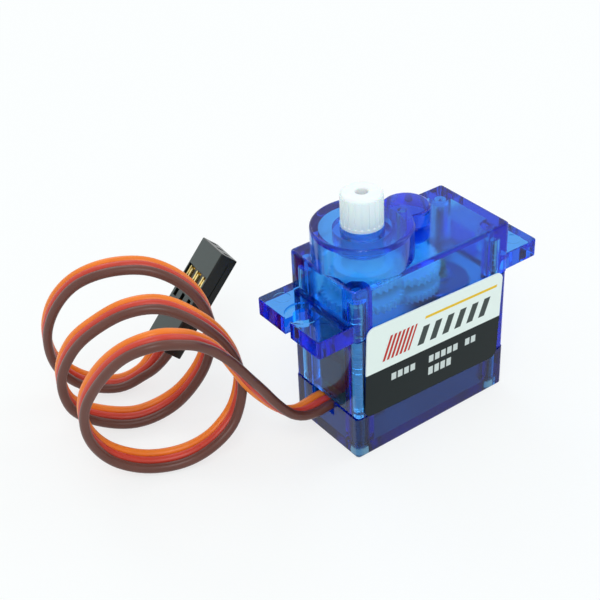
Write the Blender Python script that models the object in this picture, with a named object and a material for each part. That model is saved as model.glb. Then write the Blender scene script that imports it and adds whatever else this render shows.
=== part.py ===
"""Micro continuous-rotation servo: three clear shells, gear train, motor, board and coiled lead.

Sizes are in millimetres and become metres where a mesh is made.  X runs along the body with the
output shaft towards -X, the sticker is on the -Y side, +Z is up and the base rests on Z = 0.
"""
import math

import bmesh
import bpy
from mathutils import Matrix, Vector

MM = 0.001

# ---- overall sizes -------------------------------------------------------------------------
BODY_L = 23.0          # length of the case without its ears
BODY_W = 11.9          # width of the case
CASE_H = 23.5          # base to the flat top of the case
TURRET_H = 3.9         # turret above the flat top
SHAFT_H = 4.0          # shaft above the turret
EAR_SPAN = 32.8        # tip to tip over both ears
EAR_T = 2.3
EAR_W = BODY_W - 0.4
EAR_HOLES = EAR_SPAN - 4.4
EAR_HOLE_D = 2.3
EAR_RING_D = 4.2
EAR_SLOT = 1.1
COVER_H = 0.243 * CASE_H       # height of the bottom cover
EAR_Z = 0.715 * CASE_H         # underside of the ears, lower edge of the top case

# ---- shell details -------------------------------------------------------------------------
WALL = 1.0
FLOOR = 1.2
ROOF = 1.1
DECK = 1.1             # plate over the motor that carries the gear pins
EDGE = 0.35            # softened outer edges
MID_INSET = 0.12       # the middle case is this much shorter at each end
COLUMN_IN = 1.5        # screw axis to the outer faces
COLUMN_R = 1.35
SCREW_R = 0.55
SCREW_HOLE_R = 0.72
HEAD_R = 0.95
HEAD_POCKET_R = 1.1
HEAD_POCKET = 1.0
HEAD_H = 0.65
SLEEVE_WALL = 0.8      # bearing sleeve round the shaft under the turret roof
SLEEVE_H = 1.5

# ---- clearances ----------------------------------------------------------------------------
SEAM = 0.15            # between two shells
RUN = 0.25             # along an axis, between turning parts
PIN_FIT = 0.08         # radial, gear on its pin
SHAFT_FIT = 0.1        # radial, shaft in its sleeve
PRESS = 0.04           # radial, part pressed on a pin or a shaft
SET = 0.2              # between a part and the part that carries it

# ---- derived frame sizes -------------------------------------------------------------------
HALF_L = BODY_L / 2
HALF_W = BODY_W / 2
INNER_L = BODY_L - 2 * WALL
INNER_W = BODY_W - 2 * WALL
TURRET_R = HALF_W - 0.05
TOP_Z = CASE_H + TURRET_H
SHAFT_TOP = TOP_Z + SHAFT_H
ROOF_Z = CASE_H - ROOF
DECK_TOP = EAR_Z - SEAM
DECK_LOW = DECK_TOP - DECK
OUT_X = TURRET_R - HALF_L      # output axis, the turret is flush with the end of the case
COLUMN_X = HALF_L - COLUMN_IN
COLUMN_Y = HALF_W - COLUMN_IN

# ---- gear train ----------------------------------------------------------------------------
# Coarse stages share one centre distance, the fine stage takes the motor pinion.
MODULE = min(INNER_W / 39.6, INNER_L / 84)
FINE = 0.8 * MODULE
Z_PINION, Z_FIRST = 10, 40
Z_1, Z_2 = 12, 34
Z_3, Z_4 = 14, 32
Z_5, Z_OUT = 16, 30
PIN_R = 0.5
PIN_X = OUT_X + MODULE * (Z_1 + Z_2) / 2
MOTOR_X = PIN_X + FINE * (Z_PINION + Z_FIRST) / 2
LAYER = (ROOF_Z - DECK_TOP) / 5
LAYER_Z = [DECK_TOP + RUN + k * LAYER for k in range(5)]
FACE = LAYER - RUN
BOSS_R = 2.8 * MODULE / 0.25
BOSS_X = PIN_X + 0.2 * BOSS_R       # the boss leans towards the motor end

# ---- output shaft --------------------------------------------------------------------------
SHAFT_R = 2.45
SPLINES = 21
SPLINE_DEPTH = 0.2
HORN_SCREW_R = 0.85
# the shoulder of the shaft ends short of the tips of the small wheel beside it
HUB_R = min(SHAFT_R + 0.9, MODULE * (Z_OUT / 2 - 0.8) - SET / 2)
HORN_SCREW_DEPTH = 5.0

# ---- motor ---------------------------------------------------------------------------------
MOTOR_CLEAR = 0.95
MOTOR_R = min(HALF_W, HALF_L - MOTOR_X) - WALL - MOTOR_CLEAR
MOTOR_BASE = 0.2 * CASE_H
CAN_T = 0.35
CAN_TOP = DECK_LOW - SET
MOTOR_BOSS_R = 1.5
AXLE_R = 0.4

# ---- board ---------------------------------------------------------------------------------
BOARD_T = 0.8
BOARD_W = 2 * (COLUMN_Y - COLUMN_R) - 0.3
BOARD_LOW = 0.135 * CASE_H
BOARD_TOP = 0.58 * CASE_H
BOARD_X = WALL + 1.6 - HALF_L
TRIM_L = 3.6
TRIM_W = 4.4
TRIM_H = 2.9
TRIM_R = 0.85

# ---- sticker -------------------------------------------------------------------------------
LABEL_L = BODY_L - 2.4
LABEL_H = 0.52 * CASE_H
LABEL_T = 0.15
LABEL_GAP = 0.1
LABEL_Z = 0.49 * CASE_H
LABEL_TILT = 2.4       # degrees, it was stuck on a little askew

# ---- lead ----------------------------------------------------------------------------------
RIBBON_W = 3.4
RIBBON_T = 1.15
RIBBON_FAN = 5.6       # width where the wires spread into the plug
NOTCH_Y = 0.6
ROUTE_Z = 4.7          # height at which the lead leaves the case
NOTCH_W = RIBBON_W + 0.8
NOTCH_Z = ROUTE_Z - RIBBON_T / 2 - 0.095 * RIBBON_W      # the twist starts in the outlet
PLUG_L = 14.2
PLUG_W = 7.4
PLUG_T = 2.4
PLUG_PITCH = 2.4
PLUG_END = Vector((-9.2 - HALF_L, 21.8, 5.2))      # centre of the wire end of the plug
PLUG_ALONG = Vector((0.674, 0.001, 0.739))
PLUG_ACROSS = Vector((-0.222, -0.953, 0.204))

# Centre line of the ribbon, with X from the outlet end of the case, and the way its width points,
# from the brown wire to the orange one.
ROUTE = [
    (1.80, 0.60, 4.70, 0.00, 1.00, 0.00),
    (-0.40, 0.62, 4.70, 0.00, 1.00, 0.00),
    (-1.55, 0.66, 4.56, 0.07, 1.00, -0.03),
    (-3.27, 0.82, 4.56, 0.10, 0.97, -0.21),
    (-4.94, 1.17, 5.36, 0.03, 0.96, -0.29),
    (-6.62, 1.75, 7.32, -0.10, 0.95, -0.30),
    (-8.27, 2.24, 9.88, -0.22, 0.94, -0.25),
    (-9.85, 2.41, 12.66, -0.11, 0.98, -0.14),
    (-11.17, 2.65, 15.03, 0.05, 0.99, -0.12),
    (-12.36, 3.02, 16.78, 0.20, 0.98, -0.07),
    (-13.79, 3.42, 18.19, 0.17, 0.98, 0.04),
    (-15.78, 3.49, 19.63, 0.15, 0.99, 0.07),
    (-19.08, 4.04, 20.72, 0.36, 0.93, -0.01),
    (-22.20, 6.00, 19.40, 0.42, 0.90, -0.05),
    (-24.50, 8.40, 15.90, 0.38, 0.92, 0.05),
    (-26.00, 10.10, 11.60, 0.38, 0.92, 0.05),
    (-25.80, 10.60, 7.10, 0.38, 0.92, 0.05),
    (-23.62, 10.21, 3.10, 0.42, 0.90, 0.13),
    (-20.18, 8.37, 1.22, 0.42, 0.90, 0.13),
    (-16.09, 6.53, 1.16, 0.42, 0.90, 0.13),
    (-12.44, 5.28, 2.85, 0.38, 0.92, 0.05),
    (-9.23, 5.63, 5.19, 0.38, 0.92, 0.05),
    (-7.92, 5.94, 9.65, 0.38, 0.92, 0.05),
    (-8.91, 6.78, 14.07, 0.38, 0.92, 0.05),
    (-11.37, 7.98, 17.71, 0.42, 0.90, -0.05),
    (-14.54, 10.32, 19.99, 0.42, 0.90, -0.05),
    (-18.01, 12.75, 19.67, 0.42, 0.90, -0.05),
    (-21.29, 15.39, 17.10, 0.42, 0.90, -0.05),
    (-23.40, 17.50, 13.90, 0.38, 0.92, 0.05),
    (-24.60, 18.90, 9.60, 0.38, 0.92, 0.05),
    (-23.80, 19.10, 5.00, 0.38, 0.92, 0.05),
    (-20.63, 18.41, 1.95, 0.42, 0.90, 0.13),
    (-16.78, 16.24, 1.22, 0.42, 0.90, 0.13),
    (-12.52, 14.86, 2.40, 0.42, 0.90, 0.13),
    (-9.74, 13.25, 5.95, 0.38, 0.92, 0.05),
    (-7.93, 12.76, 9.68, 0.38, 0.92, 0.05),
    (-7.40, 12.90, 14.10, 0.38, 0.92, 0.05),
    (-8.80, 14.60, 18.00, 0.42, 0.90, -0.05),
    (-11.80, 17.30, 20.40, 0.42, 0.90, -0.05),
    (-15.50, 20.20, 20.50, 0.42, 0.90, -0.05),
    (-18.90, 23.00, 18.70, 0.42, 0.90, -0.05),
    (-21.30, 25.10, 15.20, 0.38, 0.92, 0.05),
    (-22.40, 26.40, 10.70, 0.38, 0.92, 0.05),
    (-21.80, 26.70, 6.00, 0.38, 0.92, 0.05),
    (-19.20, 25.70, 2.40, 0.52, 0.86, -0.02),
    (-15.35, 23.61, 1.15, 0.46, 0.88, -0.06),
    (-11.90, 22.30, 2.50, 0.32, 0.94, -0.15),
    (-9.40, 21.80, 5.00, 0.22, 0.95, -0.20),
]
RIBBON_SECTIONS = 104


# ---- mesh helpers --------------------------------------------------------------------------
def clear_scene():
    for obj in list(bpy.data.objects):
        bpy.data.objects.remove(obj, do_unlink=True)
    for mesh in list(bpy.data.meshes):
        bpy.data.meshes.remove(mesh)


def material(name, colour, metallic=0.0, roughness=0.5, clear=0.0):
    mat = bpy.data.materials.new(name)
    mat.use_nodes = True
    shader = mat.node_tree.nodes["Principled BSDF"]
    shader.inputs["Base Color"].default_value = (*colour, 1.0)
    shader.inputs["Metallic"].default_value = metallic
    shader.inputs["Roughness"].default_value = roughness
    shader.inputs["Transmission Weight"].default_value = clear
    mat.diffuse_color = (*colour, 1.0)
    return mat


def mesh_from(name, verts, faces):
    """A closed mesh in metres from vertices in millimetres, with its faces turned outwards."""
    mesh = bpy.data.meshes.new(name)
    mesh.from_pydata([[c * MM for c in v] for v in verts], [], faces)
    bm = bmesh.new()
    bm.from_mesh(mesh)
    bmesh.ops.recalc_face_normals(bm, faces=bm.faces)
    bm.to_mesh(mesh)
    bm.free()
    return mesh


def node(name, mesh, mat, at=(0, 0, 0)):
    obj = bpy.data.objects.new(name, mesh)
    mesh.name = name
    mesh.materials.clear()
    mesh.materials.append(mat)
    obj.location = Vector(at) * MM
    bpy.context.scene.collection.objects.link(obj)
    return obj


def prism(outline, z0, z1):
    """Straight prism over a plane outline."""
    n = len(outline)
    verts = [(x, y, z0) for x, y in outline] + [(x, y, z1) for x, y in outline]
    faces = [[i, (i + 1) % n, n + (i + 1) % n, n + i] for i in range(n)]
    faces += [list(range(n))[::-1], list(range(n, 2 * n))]
    return mesh_from("prism", verts, faces)


def pierced_prism(outline, radius, z0, z1):
    """Prism over an outline with a round bore, which has one point for each outline point."""
    n = len(outline)
    inner = [(radius * math.cos(a), radius * math.sin(a)) for a in (math.atan2(y, x) for x, y in outline)]
    verts = []
    for z in (z0, z1):
        verts += [(x, y, z) for x, y in outline] + [(x, y, z) for x, y in inner]
    faces = []
    for i in range(n):
        j = (i + 1) % n
        faces.append([i, j, 2 * n + j, 2 * n + i])
        faces.append([n + j, n + i, 3 * n + i, 3 * n + j])
        faces.append([j, i, n + i, n + j])
        faces.append([2 * n + i, 2 * n + j, 3 * n + j, 3 * n + i])
    return mesh_from("pierced", verts, faces)


def lathe(profile, steps=32, x=0.0, y=0.0):
    """Turn a profile of (radius, height) about an upright axis, from pole to pole or as a loop."""
    closed = profile[0][0] > 0
    verts, rings = [], []
    for r, z in profile:
        if r == 0:
            rings.append([len(verts)])
            verts.append((x, y, z))
            continue
        rings.append(list(range(len(verts), len(verts) + steps)))
        turn = [2 * math.pi * k / steps for k in range(steps)]
        verts += [(x + r * math.cos(a), y + r * math.sin(a), z) for a in turn]
    pairs = list(zip(rings, rings[1:]))
    if closed:
        pairs.append((rings[-1], rings[0]))
    faces = []
    for a, b in pairs:
        for k in range(steps):
            m = (k + 1) % steps
            if len(a) == 1:
                faces.append([a[0], b[k], b[m]])
            elif len(b) == 1:
                faces.append([a[k], a[m], b[0]])
            else:
                faces.append([a[k], a[m], b[m], b[k]])
    return mesh_from("turned", verts, faces)


def cylinder(x, y, radius, z0, z1, steps=32):
    return lathe([(0, z0), (radius, z0), (radius, z1), (0, z1)], steps, x, y)


def box(x0, x1, y0, y1, z0, z1):
    return prism([(x0, y0), (x1, y0), (x1, y1), (x0, y1)], z0, z1)


def rounded(length, width, radius, steps=4, x=0.0, y=0.0):
    """Outline of a rectangle with round corners."""
    points = []
    for k, (sx, sy) in enumerate(((1, 1), (-1, 1), (-1, -1), (1, -1))):
        cx = sx * (length / 2 - radius)
        cy = sy * (width / 2 - radius)
        for i in range(steps + 1):
            a = math.pi / 2 * (k + i / steps)
            points.append((x + cx + radius * math.cos(a), y + cy + radius * math.sin(a)))
    return points


def soft_block(length, width, z0, z1, radius, low=0.0, high=0.0, x=0.0):
    """Upright block with round corners and bevelled lower and upper edges."""
    levels = []
    if low:
        levels += [(z0, low), (z0 + low, 0.0)]
    else:
        levels += [(z0, 0.0)]
    if high:
        levels += [(z1 - high, 0.0), (z1, high)]
    else:
        levels += [(z1, 0.0)]
    rings = [[(px, py, z) for px, py in
              rounded(length - 2 * s, width - 2 * s, max(radius - s, 0.1), x=x)] for z, s in levels]
    return loft(rings)


def loft(rings):
    """Closed skin through rings of equal length, capped at both ends."""
    n = len(rings[0])
    verts = [v for ring in rings for v in ring]
    faces = []
    for k in range(len(rings) - 1):
        for i in range(n):
            j = (i + 1) % n
            faces.append([k * n + i, k * n + j, (k + 1) * n + j, (k + 1) * n + i])
    last = (len(rings) - 1) * n
    faces += [list(range(n))[::-1], list(range(last, last + n))]
    return mesh_from("loft", verts, faces)


def combine(mesh, other, operation):
    """Exact union or difference of two closed meshes."""
    base = bpy.data.objects.new("base", mesh)
    tool = bpy.data.objects.new("tool", other)
    for obj in (base, tool):
        bpy.context.scene.collection.objects.link(obj)
    mod = base.modifiers.new("combine", "BOOLEAN")
    mod.operation = operation
    mod.solver = "EXACT"
    mod.object = tool
    bpy.context.view_layer.update()
    graph = bpy.context.evaluated_depsgraph_get()
    result = bpy.data.meshes.new_from_object(base.evaluated_get(graph))
    bpy.data.objects.remove(base)
    bpy.data.objects.remove(tool)
    bm = bmesh.new()
    bm.from_mesh(result)
    bmesh.ops.remove_doubles(bm, verts=bm.verts, dist=1e-7)
    bmesh.ops.dissolve_degenerate(bm, edges=bm.edges, dist=1e-7)
    bm.to_mesh(result)
    bm.free()
    return result


def union(mesh, *others):
    for other in others:
        mesh = combine(mesh, other, "UNION")
    return mesh


def cut(mesh, *others):
    for other in others:
        mesh = combine(mesh, other, "DIFFERENCE")
    return mesh


def corners():
    return [(sx, sy) for sx in (-1, 1) for sy in (-1, 1)]


def column(sx, sy, z0, z1, end=HALF_L):
    """Screw column in one corner, run a little way into both walls."""
    reach_x = end - WALL / 2
    reach_y = HALF_W - WALL / 2
    arc = [math.pi + math.pi / 2 * k / 6 for k in range(7)]
    points = [(reach_x, reach_y), (COLUMN_X - COLUMN_R, reach_y)]
    points += [(COLUMN_X + COLUMN_R * math.cos(a), COLUMN_Y + COLUMN_R * math.sin(a)) for a in arc]
    points += [(reach_x, COLUMN_Y - COLUMN_R)]
    return prism([(sx * px, sy * py) for px, py in points], z0, z1)


# ---- shells --------------------------------------------------------------------------------
def bottom_cover(mat):
    shell = soft_block(BODY_L, BODY_W, 0, COVER_H, 0.5, low=0.25)
    shell = cut(shell, soft_block(INNER_L, INNER_W, FLOOR, COVER_H + 1, 0.4))
    for sx, sy in corners():
        shell = union(shell, column(sx, sy, FLOOR / 2, COVER_H - SEAM))
    for sx, sy in corners():
        x, y = sx * COLUMN_X, sy * COLUMN_Y
        shell = cut(shell, cylinder(x, y, SCREW_HOLE_R, -1, COVER_H + 1, 16))
        shell = cut(shell, cylinder(x, y, HEAD_POCKET_R, -1, HEAD_POCKET, 24))
    notch = box(-HALF_L - 1, -HALF_L + WALL + 0.3, NOTCH_Y - NOTCH_W / 2, NOTCH_Y + NOTCH_W / 2,
                NOTCH_Z, COVER_H + 1)
    shell = cut(shell, notch)
    shell = cut(shell, cylinder(trim_x(), 0, TRIM_R, -1, FLOOR + 1, 24))
    return node("bottom_cover", shell, mat)


def middle_case(mat):
    end = HALF_L - MID_INSET
    low = COVER_H + SEAM
    shell = soft_block(2 * end, BODY_W, low, DECK_TOP, 0.5)
    shell = cut(shell, soft_block(2 * (end - WALL), INNER_W, low - 1, DECK_LOW, 0.4))
    for sx, sy in corners():
        shell = union(shell, column(sx, sy, low, DECK_LOW + DECK / 2, end))
    for sx, sy in corners():
        hole = cylinder(sx * COLUMN_X, sy * COLUMN_Y, SCREW_HOLE_R, low - 1, DECK_TOP + 1, 16)
        shell = cut(shell, hole)
    shell = cut(shell, cylinder(MOTOR_X, 0, MOTOR_BOSS_R + SET, DECK_LOW - 1, DECK_TOP + 1))
    for x in (OUT_X, PIN_X):
        shell = cut(shell, cylinder(x, 0, PIN_R + PRESS, DECK_LOW - 1, DECK_TOP + 1, 24))
    return node("middle_case", shell, mat)


def ear(side):
    """One mounting ear, reaching into the case wall."""
    tip = side * EAR_SPAN / 2
    root = side * (HALF_L - WALL / 2)
    plate = soft_block(abs(tip - root), EAR_W, EAR_Z, EAR_Z + EAR_T, 0.4, low=0.15, high=0.15,
                       x=(tip + root) / 2)
    hole_x = side * EAR_HOLES / 2
    plate = cut(plate, cylinder(hole_x, 0, EAR_HOLE_D / 2, EAR_Z - 1, EAR_Z + EAR_T + 1, 32))
    plate = cut(plate, cylinder(hole_x, 0, EAR_RING_D / 2, EAR_Z + EAR_T - 0.25, EAR_Z + EAR_T + 1, 32))
    slot = box(min(hole_x, tip + side), max(hole_x, tip + side), -EAR_SLOT / 2, EAR_SLOT / 2,
               EAR_Z - 1, EAR_Z + EAR_T + 1)
    return cut(plate, slot)


def top_case(mat):
    shell = soft_block(BODY_L, BODY_W, EAR_Z, CASE_H, 0.5, high=EDGE)
    turret = lathe([(0, ROOF_Z), (TURRET_R, ROOF_Z), (TURRET_R, TOP_Z - EDGE), (TURRET_R - EDGE, TOP_Z),
                    (0, TOP_Z)], 64, OUT_X, 0)
    boss = lathe([(0, ROOF_Z + 0.3), (BOSS_R, ROOF_Z + 0.3), (BOSS_R, TOP_Z - EDGE),
                  (BOSS_R - EDGE, TOP_Z - 0.02), (0, TOP_Z - 0.02)], 40, BOSS_X, 0)
    shell = union(shell, ear(-1), ear(1), turret, boss)
    shell = cut(shell, soft_block(INNER_L, INNER_W, EAR_Z - 1, ROOF_Z, 0.4))
    for sx, sy in corners():
        shell = union(shell, column(sx, sy, EAR_Z, ROOF_Z + ROOF / 2))
    shell = cut(shell, cylinder(OUT_X, 0, TURRET_R - WALL, ROOF_Z - 1, TOP_Z - ROOF, 48))
    sleeve_r = SHAFT_R + SHAFT_FIT + SLEEVE_WALL
    shell = union(shell, cylinder(OUT_X, 0, sleeve_r, TOP_Z - ROOF - SLEEVE_H, TOP_Z - ROOF / 2, 40))
    shell = cut(shell, cylinder(OUT_X, 0, SHAFT_R + SHAFT_FIT, ROOF_Z, TOP_Z + 1, 40))
    for sx, sy in corners():
        hole = cylinder(sx * COLUMN_X, sy * COLUMN_Y, SCREW_HOLE_R, EAR_Z - 1, CASE_H - 0.9, 16)
        shell = cut(shell, hole)
    shell = cut(shell, cylinder(PIN_X, 0, PIN_R + PRESS, ROOF_Z - 1, TOP_Z - 1.3, 24))
    return node("top_case", shell, mat)


def case_screws(mat):
    tip = CASE_H - 2.6
    for k, (sx, sy) in enumerate(corners()):
        low = HEAD_POCKET - HEAD_H - 0.1
        profile = [(0, low + 0.25), (0.3, low + 0.25), (0.3, low), (HEAD_R - 0.2, low), (HEAD_R, low + 0.2),
                   (HEAD_R, low + HEAD_H), (SCREW_R, low + HEAD_H), (SCREW_R, tip - 0.8), (0, tip)]
        node(f"case_screw_{k + 1}", lathe(profile, 12), mat, (sx * COLUMN_X, sy * COLUMN_Y, 0))


# ---- gears ---------------------------------------------------------------------------------
def gear_outline(teeth, module, phase=0.0):
    """Tooth outline with straight flanks, thin enough at the pitch circle to run free."""
    pitch_r = module * teeth / 2
    tip_r = pitch_r + 0.8 * module
    root_r = pitch_r - 1.0 * module
    step = 2 * math.pi / teeth
    half_root = 0.33 * step if teeth > 14 else 0.30 * step
    half_tip = 0.11 * step if teeth > 14 else 0.08 * step
    points = []
    for k in range(teeth):
        a = phase + k * step
        for r, turn in ((root_r, -half_root), (tip_r, -half_tip), (tip_r, half_tip), (root_r, half_root)):
            points.append((r * math.cos(a + turn), r * math.sin(a + turn)))
    return points


def compound_gear(name, mat, x, wheel, small, bore):
    """A wide wheel and a narrow one on the same pin.  Each wheel is (teeth, module, phase, z0, z1)."""
    solid_wheel = prism(gear_outline(*wheel[:3]), wheel[3], wheel[4])
    solid_small = prism(gear_outline(*small[:3]), small[3], small[4])
    solid = union(solid_wheel, solid_small)
    solid = cut(solid, cylinder(0, 0, bore, wheel[3] - 1, small[4] + 1, 24))
    return node(name, solid, mat, (x, 0, 0))


def gear_train(nylon, brass, steel):
    bore = PIN_R + PIN_FIT
    z = LAYER_Z
    half = math.pi
    pinion = gear_outline(Z_PINION, FINE, half / Z_PINION)
    node("motor_pinion", pierced_prism(pinion, AXLE_R + PRESS, z[0] - 0.05, z[0] + FACE + 0.1),
         brass, (MOTOR_X, 0, 0))
    compound_gear("gear_1", nylon, PIN_X, (Z_FIRST, FINE, 0.0, z[0], z[0] + FACE),
                  (Z_1, MODULE, 0.0, z[0] + FACE / 2, z[1] + FACE), bore)
    compound_gear("gear_2", nylon, OUT_X, (Z_2, MODULE, half / Z_2, z[1], z[1] + FACE),
                  (Z_3, MODULE, 0.0, z[1] + FACE / 2, z[2] + FACE), bore)
    compound_gear("gear_3", nylon, PIN_X, (Z_4, MODULE, half / Z_4, z[2], z[2] + FACE),
                  (Z_5, MODULE, 0.0, z[2] + FACE / 2, z[3] + LAYER + 0.2), bore)
    output_gear(nylon)
    pin = [(0, 0), (PIN_R - 0.1, 0), (PIN_R, 0.1)]
    low = DECK_LOW + 0.1
    for name, x, top in (("gear_pin", PIN_X, TOP_Z - 1.6), ("output_pin", OUT_X, CASE_H + 0.3)):
        profile = [(r, low + h) for r, h in pin] + [(r, top - h) for r, h in pin[::-1]]
        node(name, lathe(profile, 24), steel, (x, 0, 0))


def output_gear(mat):
    """Last wheel of the train with the splined shaft on top."""
    low = LAYER_Z[3]
    top = low + LAYER
    wheel = prism(gear_outline(Z_OUT, MODULE, math.pi / Z_OUT), low, top)
    hub = cylinder(0, 0, HUB_R, top - 0.3, top + 1.0, 40)
    plain_top = TOP_Z + 0.4
    shaft = cylinder(0, 0, SHAFT_R, top, plain_top, 42)
    spline = []
    for k in range(SPLINES):
        a = 2 * math.pi * k / SPLINES
        for turn, r in ((-0.18, SHAFT_R - SPLINE_DEPTH), (0.18, SHAFT_R - 0.02)):
            spline.append((r, a + turn * 2 * math.pi / SPLINES))
    rings = [(plain_top - 0.3, 0.0), (SHAFT_TOP - 0.3, 0.0), (SHAFT_TOP, 0.3)]
    crown = loft([[((r - s) * math.cos(a), (r - s) * math.sin(a), z) for r, a in spline] for z, s in rings])
    solid = union(wheel, hub, shaft, crown)
    solid = cut(solid, cylinder(0, 0, PIN_R + PIN_FIT, low - 1, CASE_H + 0.6, 24),
                cylinder(0, 0, HORN_SCREW_R, SHAFT_TOP - HORN_SCREW_DEPTH, SHAFT_TOP + 1, 24))
    return node("output_gear", solid, mat, (OUT_X, 0, 0))


# ---- motor ---------------------------------------------------------------------------------
def motor(steel, plastic, copper, magnet):
    inner = MOTOR_R - CAN_T
    bore = AXLE_R + 0.1
    boss_top = DECK_TOP - 0.15
    can = lathe([(MOTOR_R, MOTOR_BASE), (MOTOR_R, CAN_TOP - 0.25), (MOTOR_R - 0.25, CAN_TOP),
                 (MOTOR_BOSS_R, CAN_TOP), (MOTOR_BOSS_R, boss_top), (bore, boss_top),
                 (bore, CAN_TOP - CAN_T), (inner, CAN_TOP - CAN_T), (inner, MOTOR_BASE)], 32)
    node("motor_can", can, steel, (MOTOR_X, 0, 0))
    cap_top = MOTOR_BASE + 1.4
    seat = MOTOR_BASE + 0.3
    cap = lathe([(0, MOTOR_BASE - 0.5), (MOTOR_R, MOTOR_BASE - 0.5), (MOTOR_R, MOTOR_BASE - 0.05),
                 (inner - 0.05, MOTOR_BASE - 0.05), (inner - 0.05, cap_top), (bore, cap_top),
                 (bore, seat), (0, seat)], 32)
    node("motor_end_cap", cap, plastic, (MOTOR_X, 0, 0))
    span_low = cap_top + 1.0
    span_top = CAN_TOP - CAN_T - 1.2
    rotor_r = 0.6 * MOTOR_R
    rotor = lathe([(0, seat + 0.1), (AXLE_R, seat + 0.1), (AXLE_R, cap_top + 0.2), (1.0, cap_top + 0.2),
                   (1.0, span_low - 0.1), (rotor_r - 0.3, span_low), (rotor_r, span_low + 0.3),
                   (rotor_r, span_top - 0.3), (rotor_r - 0.3, span_top), (AXLE_R, span_top + 0.2),
                   (AXLE_R, LAYER_Z[0] + FACE + 0.1), (0, LAYER_Z[0] + FACE + 0.1)], 24)
    node("motor_rotor", rotor, copper, (MOTOR_X, 0, 0))
    outer_r, inner_r = inner - 0.1, rotor_r + 0.35
    for k, mid in enumerate((0.0, math.pi)):
        turn = [mid + math.radians(130) * (i / 12 - 0.5) for i in range(13)]
        points = [(outer_r * math.cos(a), outer_r * math.sin(a)) for a in turn]
        points += [(inner_r * math.cos(a), inner_r * math.sin(a)) for a in turn[::-1]]
        node(f"motor_magnet_{k + 1}", prism(points, span_low - 0.2, span_top + 0.4), magnet, (MOTOR_X, 0, 0))


# ---- board ---------------------------------------------------------------------------------
def trim_x():
    return BOARD_X + BOARD_T / 2 + SET + TRIM_L / 2


def board(green, black, silver, pot_blue, slate):
    half = BOARD_T / 2
    mid_z = (BOARD_LOW + BOARD_TOP) / 2
    node("control_board", box(-half, half, -BOARD_W / 2, BOARD_W / 2, BOARD_LOW - mid_z, BOARD_TOP - mid_z),
         green, (BOARD_X, 0, mid_z))
    chip_t, chip = 0.75, 0.35 * BOARD_W
    node("logic_chip", box(-chip_t / 2, chip_t / 2, -chip, chip, -chip, chip), black,
         (BOARD_X - half - 0.06 - chip_t / 2, 0, mid_z + 0.8))
    low = FLOOR + 0.45
    can_r, can_h = 1.25, 3.0
    can_z = low + TRIM_H + SET + can_r
    driver_z = can_z + can_r + SET + 2.2
    node("driver_chip", box(-0.7, 0.7, -1.95, 1.95, -2.2, 2.2), black, (BOARD_X + half + 0.76, 0, driver_z))
    can = lathe([(0, 0), (can_r - 0.15, 0), (can_r, 0.15), (can_r, can_h - 0.15), (can_r - 0.15, can_h),
                 (0, can_h)], 24)
    can.transform(Matrix.Rotation(math.pi / 2, 4, "Y"))
    node("capacitor", can, silver, (BOARD_X + half + 0.06, 0, can_z))
    body = box(-TRIM_L / 2, TRIM_L / 2, -TRIM_W / 2, TRIM_W / 2, 0, TRIM_H)
    body = cut(body, cylinder(0, 0, 0.6, -1, 1.6, 20))
    node("trim_pot_body", body, pot_blue, (trim_x(), 0, low))
    rotor = lathe([(0, -0.28), (TRIM_R + 0.3, -0.28), (TRIM_R + 0.3, -0.08), (0.5, -0.08), (0.5, 1.4), (0, 1.4)], 24)
    rotor = cut(rotor, box(-0.15, 0.15, -0.9, 0.9, -1, -0.16))
    node("trim_pot_rotor", rotor, slate, (trim_x(), 0, low))


# ---- wires ---------------------------------------------------------------------------------
def smooth_path(points, count):
    """Even samples of a curve through every point, each a tuple of any length."""
    n = len(points)
    ends = [tuple(2 * a - b for a, b in zip(points[0], points[1]))]
    ends.append(tuple(2 * a - b for a, b in zip(points[-1], points[-2])))
    p = [ends[0]] + list(points) + [ends[1]]
    fine = []
    for i in range(n - 1):
        for k in range(24):
            t = k / 24
            a, b, c, d = p[i:i + 4]
            fine.append(tuple(0.5 * (2 * b[m] + (c[m] - a[m]) * t
                                     + (2 * a[m] - 5 * b[m] + 4 * c[m] - d[m]) * t ** 2
                                     + (3 * b[m] - a[m] - 3 * c[m] + d[m]) * t ** 3)
                              for m in range(len(b))))
    fine.append(tuple(points[-1]))
    run = [0.0]
    for a, b in zip(fine, fine[1:]):
        run.append(run[-1] + math.dist(a[:3], b[:3]))
    result, k = [], 0
    for s in range(count):
        want = run[-1] * s / (count - 1)
        while k < len(run) - 2 and run[k + 1] < want:
            k += 1
        t = (want - run[k]) / (run[k + 1] - run[k])
        result.append(tuple(a + (b - a) * t for a, b in zip(fine[k], fine[k + 1])))
    return result


def directions(points):
    """Unit tangent at every point of a path."""
    vectors = [Vector(q[:3]) for q in points]
    last = len(vectors) - 1
    return [(vectors[min(i + 1, last)] - vectors[max(i - 1, 0)]).normalized() for i in range(last + 1)]


def tube(points, radius, steps=8, count=24):
    path = smooth_path(points, count)
    side = Vector((0, 1, 0.01))
    rings = []
    for q, along in zip(path, directions(path)):
        side = (side - along * side.dot(along)).normalized()
        up = along.cross(side)
        turn = [2 * math.pi * k / steps for k in range(steps)]
        rings.append([tuple(Vector(q) + radius * (side * math.cos(a) + up * math.sin(a))) for a in turn])
    return loft(rings)


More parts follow.
